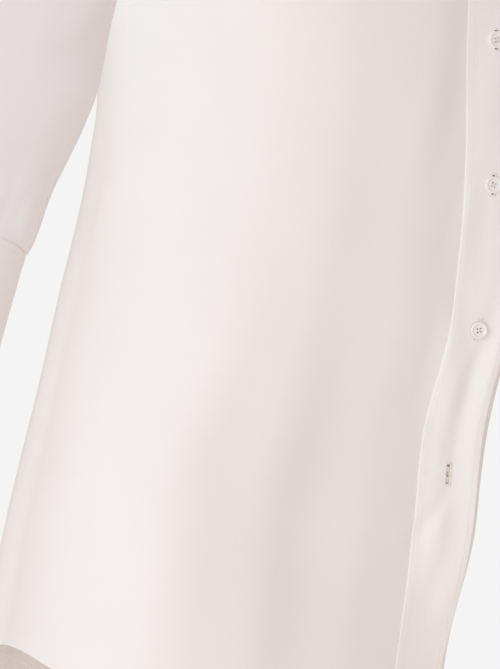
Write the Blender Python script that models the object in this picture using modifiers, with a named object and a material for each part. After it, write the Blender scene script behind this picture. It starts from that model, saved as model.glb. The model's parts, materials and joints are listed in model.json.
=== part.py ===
"""Women's poplin shirt, worn and empty: fronts, back, yoke, sleeves, cuffs, collar, bands and buttons.

Metres, +Z up, wearer facing -Y, wearer's right at -X. The origin is the middle of the neck opening
at the height of the side neck points. Around the body the place on the cloth is a number from -3 to 3:
-3 right front edge, -2 inner line of the buttonhole band, -1 right side, 0 centre back, 1 left side,
2 inner line of the button band, 3 left front edge.
"""
import math

import bmesh
import bpy
import numpy as np
from mathutils import Matrix, Vector

# Sizes of the cut
CLOTH = 0.0012
BAND_CLOTH = 0.0016
SEAM_GAP = 0.0004
PLACKET_WIDTH = 0.042
BAND_WIDTH = 0.034
PLACKET_LIFT = 0.0004
RIDGE_ARM = 0.009
RIDGE_SHARE = 0.12
VALLEY_TURN = 0.45
ROUND = 0.55

# Hem
HEM_SIDE = -0.781
HEM_FRONT_DROP = 0.095
HEM_BACK_DROP = 0.112
HEM_FRONT_RUN = 0.230
HEM_BACK_RUN = 0.235
HEM_LEVEL = -0.800
SEAM_AT_HEM = 0.74
SEAM_AT_ARM = 0.93

# Armhole loop on the body, angle 0 at the underarm, 180 at the shoulder, front first
ARM_MIDDLE = 0.98
ARM_FRONT = 0.30
ARM_BACK = 0.28
ARM_HEIGHT = -0.1865
ARM_RISE = 0.0985
ARM_FRONT_END = 155.0
ARM_BACK_END = 223.4
ARM_FRONT_STEPS = 12
ARM_TOP_STEPS = 5
ARM_BACK_STEPS = 11

# Yoke
YOKE_BACK = -0.115
YOKE_NECK = 1.42
YOKE_SAG = 0.010
NECK_SHARE = 0.36

# Steps of the panels
SEAM_STEPS = 16
RIGHT_STEPS = 20
LEFT_STEPS = 18
BACK_STEPS = 20
LEFT_CLOSER = 1.5
YOKE_ROWS = 5
YOKE_COLUMNS = BACK_STEPS + 2 * ARM_TOP_STEPS
BAND_STEPS = SEAM_STEPS + ARM_FRONT_STEPS
BAND_ROW = 0.030
BUTTON_STEPS = 12

# Collar
STAND_HEIGHT = 0.030
STAND_LEAN = 0.10
STAND_ROUND = 0.014
COLLAR_GAP = 0.0010
COLLAR_RISE = 0.0085
COLLAR_REACH = 0.0130
COLLAR_SHARES = (0.0, 0.15, 0.33, 0.55, 0.78, 1.0)
COLLAR_CLEAR = 0.0050
COLLAR_INSET = 3
END_STEPS = 5
COLLAR = (
    ("place", "to_place", "drop"),
    (0.00, 0.00, 0.010),
    (0.50, 0.50, 0.011),
    (1.00, 1.00, 0.014),
    (1.42, 1.42, 0.018),
    (1.65, 1.62, 0.022),
    (1.80, 1.745, 0.026),
    (1.90, 1.84, 0.030),
    (2.00, 1.91, 0.036),
    (2.40, 1.935, 0.050),
)

# Buttons
BUTTON_RADIUS = 0.0056
BUTTON_THICK = 0.0022
BUTTON_SPACING = 0.094
BUTTON_LAST = -0.673
FRONT_BUTTONS = 7
HOLE_LENGTH = 0.0125
HOLE_WIDTH = 0.0018
OPEN_HOLE_WIDTH = 0.0026
SHANK_RADIUS = 0.0006
FLAT_SHANK = 0.0001
BUTTON_PROFILE = (
    ("radius", "height"),
    (0.80, 0.0),
    (1.00, 0.35),
    (1.00, 0.75),
    (0.86, 1.0),
    (0.66, 0.72),
    (0.00, 0.72),
)

# Cuffs
CUFF_HEIGHT = 0.065
CUFF_CLOTH = 0.0020
CUFF_OVERLAP = 0.030
CUFF_STEP = 0.0028
CUFF_START = 270.0
CUFF_STEPS = 30

# Plan of the body at each height: how far the button line stands forward, how far the band and the
# left front turn from facing ahead (degrees), half widths, where the widest points lie, back depth
BODY = (
    ("height", "front", "turn", "turn_left", "half_right", "half_left", "side_right", "side_left", "back",
     "under"),
    (0.012, 0.024, 2.0, 2.0, 0.052, 0.052, 0.002, 0.002, 0.052, 0.0026),
    (0.000, 0.031, 2.0, 2.0, 0.068, 0.068, 0.002, 0.002, 0.060, 0.0026),
    (-0.020, 0.043, 2.0, 2.0, 0.108, 0.108, 0.003, 0.003, 0.069, 0.0026),
    (-0.050, 0.060, 3.0, 3.0, 0.164, 0.164, 0.005, 0.005, 0.080, 0.0026),
    (-0.075, 0.072, 3.0, 3.0, 0.211, 0.211, 0.008, 0.008, 0.088, 0.0026),
    (-0.090, 0.079, 4.0, 4.0, 0.232, 0.232, 0.010, 0.010, 0.092, 0.0026),
    (-0.115, 0.095, 5.0, 5.0, 0.236, 0.236, 0.012, 0.012, 0.098, 0.0026),
    (-0.160, 0.122, 7.0, 7.0, 0.226, 0.226, 0.014, 0.014, 0.104, 0.0026),
    (-0.220, 0.148, 9.0, 9.0, 0.209, 0.209, 0.014, 0.014, 0.106, 0.0026),
    (-0.285, 0.161, 15.0, 14.0, 0.193, 0.193, 0.010, 0.010, 0.099, 0.0026),
    (-0.360, 0.166, 25.0, 20.0, 0.177, 0.178, 0.007, 0.010, 0.090, 0.0026),
    (-0.421, 0.166, 30.0, 24.0, 0.168, 0.168, 0.006, 0.011, 0.087, 0.0026),
    (-0.550, 0.1585, 36.0, 29.0, 0.187, 0.180, 0.009, 0.019, 0.111, 0.0026),
    (-0.650, 0.1340, 38.0, 32.0, 0.207, 0.190, 0.012, 0.030, 0.133, 0.0075),
    (-0.705, 0.1275, 36.0, 34.0, 0.218, 0.195, 0.014, 0.036, 0.145, 0.0075),
    (-0.803, 0.1079, 13.0, 36.0, 0.237, 0.203, 0.016, 0.042, 0.165, 0.0075),
    (-0.900, 0.0890, 8.0, 36.0, 0.256, 0.212, 0.016, 0.046, 0.183, 0.0075),
)

# Neckline: place round the body and height
NECK = (
    ("place", "height"),
    (0.000, -0.012),
    (0.500, -0.007),
    (1.000, 0.000),
    (1.300, -0.003),
    (1.445, -0.006),
    (1.560, -0.010),
    (1.645, -0.015),
    (1.700, -0.020),
    (1.770, -0.030),
    (1.815, -0.040),
    (1.853, -0.050),
    (1.890, -0.060),
    (1.935, -0.067),
    (2.000, -0.071),
    (3.000, -0.071),
)

# Soft folds of the body: place at the hem and at the top, half width in the same measure,
# depth at the hem (inward is minus), height where each starts
FOLDS = (
    ("low", "high", "width", "depth", "start"),
    (-1.72, -1.74, 0.16, -0.0040, -0.200),
    (-1.30, -1.34, 0.20, 0.0030, -0.420),
    (-0.62, -0.72, 0.13, 0.0070, -0.360),
    (-0.40, -0.52, 0.12, -0.0100, -0.300),
    (-0.16, -0.22, 0.12, 0.0085, -0.330),
    (0.10, 0.05, 0.11, -0.0095, -0.260),
    (0.33, 0.30, 0.12, 0.0080, -0.400),
    (0.58, 0.66, 0.13, -0.0075, -0.380),
    (1.22, 1.18, 0.16, -0.0065, -0.440),
    (1.52, 1.50, 0.14, 0.0035, -0.360),
)

# Sleeve sections below the armhole: middle, half widths across and fore-and-aft (right sleeve)
SLEEVE = (
    ("along", "x", "y", "z", "across", "fore"),
    (0.00, -0.2610, 0.0250, -0.305, 0.0640, 0.0750),
    (0.20, -0.2740, 0.0310, -0.361, 0.0640, 0.0740),
    (0.45, -0.2860, 0.0370, -0.421, 0.0620, 0.0710),
    (0.62, -0.2970, 0.0375, -0.470, 0.0520, 0.0560),
    (0.80, -0.3050, 0.0362, -0.503, 0.0420, 0.0450),
    (1.00, -0.3120, 0.0380, -0.523, 0.0370, 0.0395),
)
SLEEVE_CAP_RINGS = 6
SLEEVE_RINGS = 10
PLEATS = (
    ("angle", "width", "depth"),
    (200.0, 14.0, -0.0040),
    (228.0, 13.0, 0.0034),
    (256.0, 14.0, -0.0036),
    (300.0, 17.0, 0.0024),
    (120.0, 22.0, -0.0022),
)
SLIT_ANGLE = 21
SLIT_RING = 4
SLIT_END = 0.975
BAND_LIFT = 0.0018
PLEAT_START = 0.40
PLEAT_RISE = 0.40
PLEAT_FADE = 0.12
UNDERARM_OUT = 0.8
CAP_SPREAD = 0.30
CAP_REACH = 0.45

SHIRT = "poplin_shirt"


def column(table, name):
    """One named column of a table."""
    place = table[0].index(name)
    return np.array([row[place] for row in table[1:]], dtype=float)


def smooth(xs, ys, x):
    """Value at x of a smooth curve through the table that never overshoots its rows."""
    order = np.argsort(xs)
    xs, ys = xs[order], ys[order]
    x = min(max(x, xs[0]), xs[-1])
    step = np.diff(xs)
    rise = np.diff(ys) / step
    slopes = np.zeros(len(xs))
    slopes[0], slopes[-1] = rise[0], rise[-1]
    for i in range(1, len(xs) - 1):
        if rise[i - 1] * rise[i] > 0.0:
            a = 2.0 * step[i] + step[i - 1]
            b = step[i] + 2.0 * step[i - 1]
            slopes[i] = (a + b) / (a / rise[i - 1] + b / rise[i])
    i = int(min(np.searchsorted(xs, x, side="right") - 1, len(xs) - 2))
    t = (x - xs[i]) / step[i]
    near = (1.0 + 2.0 * t) * (1.0 - t) ** 2 * ys[i] + t * t * (3.0 - 2.0 * t) * ys[i + 1]
    return near + step[i] * (t * (1.0 - t) ** 2 * slopes[i] - t * t * (1.0 - t) * slopes[i + 1])


def reader(table, key):
    """Function that gives every column of the table at one value of the key, as a dictionary."""
    keys = column(table, key)
    names = [name for name in table[0] if name != key]
    columns = {name: column(table, name) for name in names}
    known = {}

    def read(value):
        mark = round(float(value), 6)
        if mark not in known:
            known[mark] = {name: float(smooth(keys, columns[name], mark)) for name in names}
        return known[mark]

    return read


body_at = reader(BODY, "height")
neck_at = reader(NECK, "place")
sleeve_at = reader(SLEEVE, "along")
collar_at = reader(COLLAR, "place")


def bezier(points, t):
    """Point at t on the Bezier curve of three or four points."""
    level = [np.array(point, dtype=float) for point in points]
    while len(level) > 1:
        level = [a * (1.0 - t) + b * t for a, b in zip(level, level[1:])]
    return level[0]


def ease(x):
    """Soft step from 0 to 1."""
    x = min(max(x, 0.0), 1.0)
    return (1.0 - math.cos(math.pi * x)) / 2.0


def hump(x):
    """Soft bump, 1 in the middle and nothing beyond 1 either way."""
    return (1.0 + math.cos(math.pi * min(abs(x), 1.0))) / 2.0


def plan(q, z):
    """Plan point of the cloth at place q and height z, before folds."""
    row = body_at(z)
    side = -1.0 if q < 0.0 else 1.0
    p = 3.0 - abs(q)
    turn = math.radians(row["turn"])
    along = np.array([-math.cos(turn), math.sin(turn)])
    out = np.array([-math.sin(turn), -math.cos(turn)])
    half = row["half_right"] if side < 0.0 else row["half_left"]
    widest = row["side_right"] if side < 0.0 else row["side_left"]
    edge = np.array([side * half, widest])
    if p >= 2.0:
        reach = ROUND * (row["back"] - widest)
        back = np.array([0.0, row["back"]])
        inner = back + np.array([side * ROUND * half, 0.0])
        return bezier((edge, edge + (0.0, reach), inner, back), p - 2.0)
    middle = np.array([0.0, -row["front"]])
    if side < 0.0:
        if p <= 1.0:
            return middle + along * (p - 0.5) * PLACKET_WIDTH
        start = middle + along * 0.5 * PLACKET_WIDTH
        valley = turn * VALLEY_TURN
        heading = np.array([-math.cos(valley), math.sin(valley)])
        share = p - 1.0
    else:
        middle = middle - out * row["under"]
        if p <= 1.0:
            return middle - along * (p - 0.5) * BAND_WIDTH
        start = middle - along * 0.5 * BAND_WIDTH
        turn_left = math.radians(row["turn_left"])
        heading = np.array([math.cos(turn_left), math.sin(turn_left)])
        corner = start - along * RIDGE_ARM
        if p <= 1.0 + RIDGE_SHARE:
            return bezier((start, corner, corner + heading * RIDGE_ARM), (p - 1.0) / RIDGE_SHARE)
        start = corner + heading * RIDGE_ARM
        share = (p - 1.0 - RIDGE_SHARE) / (1.0 - RIDGE_SHARE)
    first = start + heading * ROUND * abs(edge[0] - start[0])
    reach = ROUND * (edge[1] - start[1])
    return bezier((start, first, edge - (0.0, reach), edge), share)


def fold(q, z):
    """Depth of the folds at a place, outward plus."""
    total = 0.0
    low, high, width, depth, start = (column(FOLDS, name) for name in FOLDS[0])
    for i in range(len(low)):
        fall = ease((start[i] - z) / (start[i] - HEM_SIDE))
        middle = high[i] + (low[i] - high[i]) * fall
        total += depth[i] * fall * hump((q - middle) / width[i])
    return total


def surface(q, z):
    """Point on the outer face of the body cloth."""
    point = plan(q, z)
    depth = fold(q, z)
    if depth != 0.0:
        run = plan(q + 0.01, z) - plan(q - 0.01, z)
        run = run / np.linalg.norm(run)
        point = point + depth * np.array([-run[1], run[0]])
    return np.array([point[0], point[1], z])


def facing(q, z):
    """Outward direction of the body cloth."""
    run = surface(min(q + 0.012, 3.0), z) - surface(max(q - 0.012, -3.0), z)
    rise = surface(q, z + 0.004) - surface(q, z - 0.004)
    normal = np.cross(rise, run)
    return normal / np.linalg.norm(normal)


def skin(q, z, lift=0.0):
    """Point of the body cloth moved out by lift."""
    point = surface(q, z)
    if lift != 0.0:
        point = point + facing(q, z) * lift
    return point


def neck_height(q):
    return neck_at(abs(q))["height"]


def seam_place(z):
    """Place of the side seam at a height, without its side."""
    share = ease((z - HEM_SIDE) / (ARM_HEIGHT - ARM_RISE - HEM_SIDE))
    return SEAM_AT_HEM + (SEAM_AT_ARM - SEAM_AT_HEM) * share


def arm_loop(side, degrees):
    """Place and height of the armhole seam at an angle."""
    angle = math.radians(degrees)
    bulge = ARM_FRONT if degrees <= 180.0 else ARM_BACK
    lower = (1.0 + math.cos(angle)) / 2.0
    middle = ARM_MIDDLE + (SEAM_AT_ARM - ARM_MIDDLE) * lower
    return side * (middle + bulge * math.sin(angle)), ARM_HEIGHT - ARM_RISE * math.cos(angle)


def spread(start, end, count):
    """Even steps from start to end, both included."""
    return [start + (end - start) * i / count for i in range(count + 1)]


ARM_ANGLES = (
    spread(0.0, ARM_FRONT_END, ARM_FRONT_STEPS)
    + spread(ARM_FRONT_END, ARM_BACK_END, ARM_TOP_STEPS)[1:]
    + spread(ARM_BACK_END, 360.0, ARM_BACK_STEPS)[1:]
)


def hem_curve(start, end, shares, drop, run, both):
    """Hem of one panel as places and heights at shares of its length; the side seam is at the end."""
    places = spread(start, end, 60)
    points = [surface(q, HEM_LEVEL) for q in places]
    steps = [np.linalg.norm(b - a) for a, b in zip(points, points[1:])]
    lengths = np.concatenate(([0.0], np.cumsum(steps)))
    whole = float(lengths[-1])
    rows = []
    for length in [whole * share for share in shares]:
        away = min(length, whole - length) if both else whole - length
        rows.append((float(np.interp(length, lengths, places)), HEM_SIDE - drop * ease(away / run)))
    return rows


def patch(bottom, top, left, right):
    """Grid of places and heights that fills four border curves."""
    bottom, top, left, right = (np.array(curve) for curve in (bottom, top, left, right))
    wide, high = len(bottom) - 1, len(left) - 1
    rows = []
    for j in range(high + 1):
        v = j / high
        row = []
        for i in range(wide + 1):
            u = i / wide
            cross = (1.0 - v) * bottom[i] + v * top[i] + (1.0 - u) * left[j] + u * right[j]
            corners = (1.0 - u) * ((1.0 - v) * bottom[0] + v * top[0])
            corners = corners + u * ((1.0 - v) * bottom[-1] + v * top[-1])
            row.append(tuple(cross - corners))
        rows.append(row)
    return rows


def pull_in(rows, gap, sides="lrbt"):
    """Moves the outer points of a grid inward so that neighbours stay apart."""
    grid = np.array(rows, dtype=float)

    def moved(edge, inner):
        step = inner - edge
        size = np.linalg.norm(step, axis=-1, keepdims=True)
        return edge + step / np.maximum(size, 1e-9) * gap

    if "l" in sides:
        grid[:, 0] = moved(grid[:, 0], grid[:, 1])
    if "r" in sides:
        grid[:, -1] = moved(grid[:, -1], grid[:, -2])
    if "b" in sides:
        grid[0] = moved(grid[0], grid[1])
    if "t" in sides:
        grid[-1] = moved(grid[-1], grid[-2])
    return grid


def link(obj):
    bpy.data.collections[SHIRT].objects.link(obj)


def material(name, color, rough):
    mat = bpy.data.materials.new(name)
    mat.use_nodes = True
    shader = mat.node_tree.nodes["Principled BSDF"]
    shader.inputs["Base Color"].default_value = (*color, 1.0)
    shader.inputs["Roughness"].default_value = rough
    mat.diffuse_color = (*color, 1.0)
    return mat


def finish(obj, color=(0.86, 0.84, 0.82), rough=0.85):
    """Applies the modifiers, turns the faces outward and gives the piece its own material."""
    bpy.context.view_layer.update()
    shaped = obj.evaluated_get(bpy.context.evaluated_depsgraph_get())
    mesh = bpy.data.meshes.new_from_object(shaped)
    obj.modifiers.clear()
    old = obj.data
    obj.data = mesh
    bpy.data.meshes.remove(old)
    mesh.name = obj.name
    work = bmesh.new()
    work.from_mesh(mesh)
    bmesh.ops.triangulate(work, faces=work.faces[:])
    bmesh.ops.recalc_face_normals(work, faces=work.faces[:])
    work.to_mesh(mesh)
    work.free()
    mesh.materials.clear()
    mesh.materials.append(material(obj.name + "_material", color, rough))


def grid_facing(grid, closed=False):
    """Outward direction at every point of a grid whose rows run with the cloth outside on the right."""
    if closed:
        across = np.roll(grid, -1, axis=1) - np.roll(grid, 1, axis=1)
    else:
        across = np.gradient(grid, axis=1)
    up = np.gradient(grid, axis=0)
    normal = np.cross(across, up)
    return normal / np.linalg.norm(normal, axis=-1, keepdims=True)


def cloth(name, outer, inner, closed=False, holes=()):
    """Closed wall between two grids of points, open ends and cut holes rimmed."""
    high, wide = outer.shape[0], outer.shape[1]
    work = bmesh.new()
    skins = [[[work.verts.new(point) for point in row] for row in grid] for grid in (outer, inner)]
    last = wide if closed else wide - 1
    for j in range(high - 1):
        for i in range(last):
            if (j, i) in holes:
                continue
            k = (i + 1) % wide
            for face in skins:
                work.faces.new((face[j][i], face[j][k], face[j + 1][k], face[j + 1][i]))
    twin = {}
    for out_row, in_row in zip(*skins):
        twin.update(zip(out_row, in_row))
    for edge in [edge for edge in work.edges if edge.is_boundary and edge.verts[0] in twin]:
        a, b = edge.verts
        work.faces.new((a, b, twin[b], twin[a]))
    mesh = bpy.data.meshes.new(name)
    work.to_mesh(mesh)
    work.free()
    obj = bpy.data.objects.new(name, mesh)
    link(obj)
    finish(obj)


def body_cloth(name, places, gaps, thickness=CLOTH, lift=0.0, flip=False, holes=()):
    """Wall on the body from a grid of places and heights, pulled in at the sides named in gaps."""
    outer = pull_in([[skin(q, z, lift) for q, z in row] for row in places], SEAM_GAP / 2.0, gaps)
    inner = pull_in([[skin(q, z, lift - thickness) for q, z in row] for row in places], SEAM_GAP / 2.0, gaps)
    if flip:
        outer, inner = outer[:, ::-1], inner[:, ::-1]
    cloth(name, outer, inner, holes=holes)


def free_cloth(name, rows, thickness, flip=False, closed=False):
    """Wall under a grid of points of its own."""
    outer = np.array(rows, dtype=float)
    if flip:
        outer = outer[:, ::-1]
    cloth(name, outer, outer - grid_facing(outer, closed) * thickness, closed)


def front(side, steps, closer, name):
    """One front from its band to the side seam and armhole; closer sets columns nearer the band."""
    end = side * seam_place(HEM_SIDE)
    shares = [share ** closer for share in spread(0.0, 1.0, steps)]
    bottom = hem_curve(side * 2.0, end, shares, HEM_FRONT_DROP, HEM_FRONT_RUN, False)
    neck = neck_places(side, steps)
    top = [(q, neck_height(q)) for q in neck]
    top += [yoke_front(side, share) for share in spread(0.0, 1.0, steps + 1 - len(neck))[1:]]
    right = side_seam(side) + [arm_loop(side, angle) for angle in ARM_ANGLES[1:ARM_FRONT_STEPS + 1]]
    left = [(side * 2.0, z) for z in spread(bottom[0][1], neck_height(2.0), len(right) - 1)]
    body_cloth(name, patch(bottom, top, left, right), "lrt", flip=side < 0.0)


def neck_places(side, steps):
    """Places along the neckline of a front, from its band to the yoke, even along the cloth."""
    places = spread(2.0, YOKE_NECK, 60)
    points = [surface(side * q, neck_height(q)) for q in places]
    lengths = np.cumsum([0.0] + [float(np.linalg.norm(b - a)) for a, b in zip(points, points[1:])])
    count = round(steps * NECK_SHARE)
    return [side * float(np.interp(length, lengths, places)) for length in spread(0.0, lengths[-1], count)]


def side_seam(side):
    heights = spread(HEM_SIDE, ARM_HEIGHT - ARM_RISE, SEAM_STEPS)
    return [(side * seam_place(z), z) for z in heights]


def yoke_front(side, share):
    """Front seam of the yoke from the neck corner to the armhole."""
    neck = np.array([side * YOKE_NECK, neck_height(YOKE_NECK)])
    tip = np.array(arm_loop(side, ARM_FRONT_END))
    return tuple(neck + (tip - neck) * share - np.array([0.0, YOKE_SAG * math.sin(math.pi * share)]))


def yoke_back():
    """Back seam of the yoke from the left armhole to the right."""
    place, height = arm_loop(1.0, ARM_BACK_END)
    rows = []
    for q in spread(place, -place, BACK_STEPS):
        rows.append((q, height + (YOKE_BACK - height) * ease(2.0 * (1.0 - abs(q) / place))))
    return rows


def back():
    """The back between the side seams, up to the yoke."""
    seam = seam_place(HEM_SIDE)
    bottom = hem_curve(seam, -seam, spread(0.0, 1.0, BACK_STEPS), HEM_BACK_DROP, HEM_BACK_RUN, True)
    arm = ARM_ANGLES[:ARM_FRONT_STEPS + ARM_TOP_STEPS - 1:-1]
    left = side_seam(1.0) + [arm_loop(1.0, angle) for angle in arm[1:]]
    right = side_seam(-1.0) + [arm_loop(-1.0, angle) for angle in arm[1:]]
    body_cloth("back", patch(bottom, yoke_back(), left, right), "lrt")


def yoke():
    """The yoke over both shoulders, from the neckline out to the back seam and armholes."""
    arm = ARM_ANGLES[ARM_FRONT_STEPS:ARM_FRONT_STEPS + ARM_TOP_STEPS + 1]
    bottom = [arm_loop(1.0, angle) for angle in arm] + yoke_back()[1:-1]
    bottom += [arm_loop(-1.0, angle) for angle in reversed(arm)]
    top = [(q, neck_height(q)) for q in spread(YOKE_NECK, -YOKE_NECK, YOKE_COLUMNS)]
    left = [yoke_front(1.0, 1.0 - share) for share in spread(0.0, 1.0, YOKE_ROWS)]
    right = [yoke_front(-1.0, 1.0 - share) for share in spread(0.0, 1.0, YOKE_ROWS)]
    body_cloth("yoke", patch(bottom, top, left, right), "lrbt")


def button_heights():
    return [BUTTON_LAST + BUTTON_SPACING * i for i in range(FRONT_BUTTONS)]


def band_rows(bottom, top):
    """Heights of the rows of a band, with a row at each end of every buttonhole."""
    marks = [bottom]
    for height in button_heights():
        marks += [height - HOLE_LENGTH / 2.0, height + HOLE_LENGTH / 2.0]
    marks.append(top)
    rows = [bottom]
    holes = []
    for i, (low, high) in enumerate(zip(marks, marks[1:])):
        if i % 2 == 1:
            holes.append(len(rows) - 1)
        rows += spread(low, high, max(1, round((high - low) / BAND_ROW)))[1:]
    return rows, holes


def placket():
    """Buttonhole band on the right front edge, with a slit for each button."""
    bottom = HEM_SIDE - HEM_FRONT_DROP
    heights, holes = band_rows(bottom, neck_height(3.0))
    places = []
    for z in heights:
        slit = OPEN_HOLE_WIDTH if abs(z - BUTTON_LAST) < HOLE_LENGTH else HOLE_WIDTH
        half = slit / 2.0 / PLACKET_WIDTH
        places.append([(-3.0 + share, z) for share in (1.0, 0.75, 0.5 + half, 0.5 - half, 0.25, 0.0)])
    slits = [(row, 2) for row in holes]
    body_cloth("buttonhole_band", places, "lt", BAND_CLOTH, PLACKET_LIFT, holes=slits)


def button_band():
    """Band on the left front edge that carries the buttons."""
    bottom = HEM_SIDE - HEM_FRONT_DROP
    heights = spread(bottom, neck_height(3.0), BAND_STEPS)
    places = [[(3.0 - share, z) for share in (0.0, 0.33, 0.67, 1.0)] for z in heights]
    body_cloth("button_band", places, "rt", BAND_CLOTH)


def stand_point(q, rise):
    """Point on the outer face of the collar stand, rise above the neckline."""
    base = skin(q, neck_height(q))
    inward = -np.array([base[0], base[1], 0.0])
    inward = inward / np.linalg.norm(inward)
    return base + np.array([0.0, 0.0, rise]) + inward * STAND_LEAN * rise


def stand_height(q):
    """Height of the stand, rounded off at its front corners."""
    away = (3.0 - abs(q)) * PLACKET_WIDTH
    if away >= STAND_ROUND:
        return STAND_HEIGHT
    share = 1.0 - away / STAND_ROUND
    return STAND_HEIGHT - STAND_ROUND * (1.0 - math.sqrt(max(0.0, 1.0 - share * share)))


def stand_places():
    """Places along the neckline from the left front edge to the right, at the points of the panels."""
    places = spread(3.0, 2.0, END_STEPS) + neck_places(1.0, LEFT_STEPS)[1:]
    places += spread(YOKE_NECK, -YOKE_NECK, YOKE_COLUMNS)[1:]
    return places + neck_places(-1.0, RIGHT_STEPS)[::-1][1:] + spread(-2.0, -3.0, END_STEPS)[1:]


def stand_grid():
    """Outer face of the collar stand; the right end laps over the left."""
    rows = []
    for share in (0.0, 0.33, 0.67, 1.0):
        rows.append([stand_point(q, SEAM_GAP + share * stand_height(q)) for q in stand_places()])
    return np.array(rows)


def collar():
    """Collar leaf, rising from the stand, rolled over and falling to the shoulders."""
    outer = stand_grid()
    out = grid_facing(outer)[-1]
    roots = outer[-1] - out * BAND_CLOTH + np.array([0.0, 0.0, COLLAR_GAP])
    flat = out * np.array([1.0, 1.0, 0.0])
    flat = flat / np.linalg.norm(flat, axis=1, keepdims=True)
    part = slice(COLLAR_INSET, -COLLAR_INSET)
    columns = []
    for q, root, away in zip(stand_places()[part], roots[part], flat[part]):
        fall = collar_at(abs(q))
        place = math.copysign(fall["to_place"], q)
        tip = skin(place, neck_height(place) - fall["drop"], COLLAR_CLEAR)
        top = root + np.array([0.0, 0.0, COLLAR_RISE])
        bends = (root, top, top + away * COLLAR_REACH, tip)
        columns.append([bezier(bends, share) for share in COLLAR_SHARES])
    leaf = np.array(columns).transpose(1, 0, 2)[:, ::-1]
    walls = grid_facing(leaf)
    walls[0] = -out[part][::-1]
    cloth("collar", leaf, leaf - walls * BAND_CLOTH)


def sleeve_frame(along):
    """Middle, inward and forward directions and half widths of a right sleeve section."""
    row = sleeve_at(along)
    middle = np.array([row["x"], row["y"], row["z"]])
    after, before = sleeve_at(min(along + 0.02, 1.0)), sleeve_at(max(along - 0.02, 0.0))
    axis = np.array([after[name] - before[name] for name in ("x", "y", "z")])
    axis = axis / np.linalg.norm(axis)
    ahead = np.array([0.0, -1.0, 0.0])
    ahead = ahead - axis * float(ahead @ axis)
    ahead = ahead / np.linalg.norm(ahead)
    return middle, np.cross(ahead, axis), ahead, axis, row


def sleeve_ring(side, degrees, along, lift=0.0, beyond=0.0):
    """Point of a sleeve section; beyond runs on past the section along the sleeve."""
    middle, inward, ahead, axis, row = sleeve_frame(along)
    angle = math.radians(degrees)
    strength = min(ease((along - PLEAT_START) / PLEAT_RISE), (1.0 - along) / PLEAT_FADE)
    puff = lift
    for at, width, depth in PLEATS[1:]:
        away = (degrees - at + 180.0) % 360.0 - 180.0
        puff += depth * hump(away / width) * strength
    point = middle + axis * beyond
    point = point + inward * (row["across"] + puff) * math.cos(angle)
    point = point + ahead * (row["fore"] + puff) * math.sin(angle)
    return point * np.array([-side, 1.0, 1.0])


def underarm(degrees):
    """1 at the underarm, falling to 0 towards the shoulder."""
    return ((1.0 + math.cos(math.radians(degrees))) / 2.0) ** 2


def sleeve_cap(side, degrees, share):
    """Point between the armhole seam and the first sleeve section."""
    q, z = arm_loop(side, degrees)
    start = skin(q, z)
    body = skin(q - (side * ARM_MIDDLE - q) * 0.12, z - (ARM_HEIGHT - z) * 0.12)
    flow = start - body
    flow[1] = -CAP_SPREAD * math.sin(math.radians(degrees)) * np.linalg.norm(flow)
    flow = flow / np.linalg.norm(flow)
    low = underarm(degrees)
    drop = np.array([side * UNDERARM_OUT, 0.0, -1.0])
    heading = flow * (1.0 - low) + drop / np.linalg.norm(drop) * low
    heading = heading / np.linalg.norm(heading)
    start = start + heading * SEAM_GAP / 2.0 + np.array([side * SEAM_GAP * low, 0.0, 0.0])
    end = sleeve_ring(side, degrees, 0.0)
    axis = sleeve_frame(0.0)[3] * np.array([-side, 1.0, 1.0])
    reach = np.linalg.norm(end - start) * CAP_REACH
    return bezier((start, start + heading * reach, end - axis * reach, end), share)


def sleeve(side, name):
    """Sleeve from the armhole seam to the cuff."""
    angles = ARM_ANGLES[:-1]
    shares = spread(0.0, 1.0, SLEEVE_CAP_RINGS)
    rows = [[sleeve_cap(side, angle, share) for angle in angles] for share in shares]
    for along in spread(0.0, 1.0, SLEEVE_RINGS)[1:]:
        rows.append([sleeve_ring(side, angle, along) for angle in angles])
    outer = np.array(rows)
    out = grid_facing(outer, True) * -side
    for i, angle in enumerate(angles):
        low = underarm(angle)
        out[0, i] = out[0, i] * low + facing(*arm_loop(side, angle)) * (1.0 - low)
        out[0, i] = out[0, i] / np.linalg.norm(out[0, i])
    cloth(name, outer, outer - out * CLOTH, closed=True)


def sleeve_band(side, name):
    """Narrow band that finishes the slit above the cuff, lying on the sleeve."""
    rows = []
    angles = ARM_ANGLES[SLIT_ANGLE:SLIT_ANGLE + 3]
    for along in spread(0.0, 1.0, SLEEVE_RINGS)[SLIT_RING:]:
        rows.append([sleeve_ring(side, angle, min(along, SLIT_END), BAND_LIFT) for angle in angles])
    free_cloth(name, rows, CLOTH, flip=side > 0.0)


def cuff_point(side, degrees, down, lift=0.0):
    """Point on the outer face of a cuff; past a whole turn it laps over its own start."""
    spiral = CUFF_STEP * (degrees - CUFF_START) / 360.0
    return sleeve_ring(side, degrees, 1.0, spiral + lift, SEAM_GAP + down)


def cuff(side, name):
    """Cuff that wraps round the sleeve end and laps over itself."""
    lap = math.degrees(CUFF_OVERLAP / sleeve_at(1.0)["across"])
    angles = spread(CUFF_START, CUFF_START + 360.0 + lap, CUFF_STEPS)
    rows = [[cuff_point(side, angle, down) for angle in angles] for down in spread(0.0, CUFF_HEIGHT, 3)]
    free_cloth(name, rows, CUFF_CLOTH, flip=side > 0.0)


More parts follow.
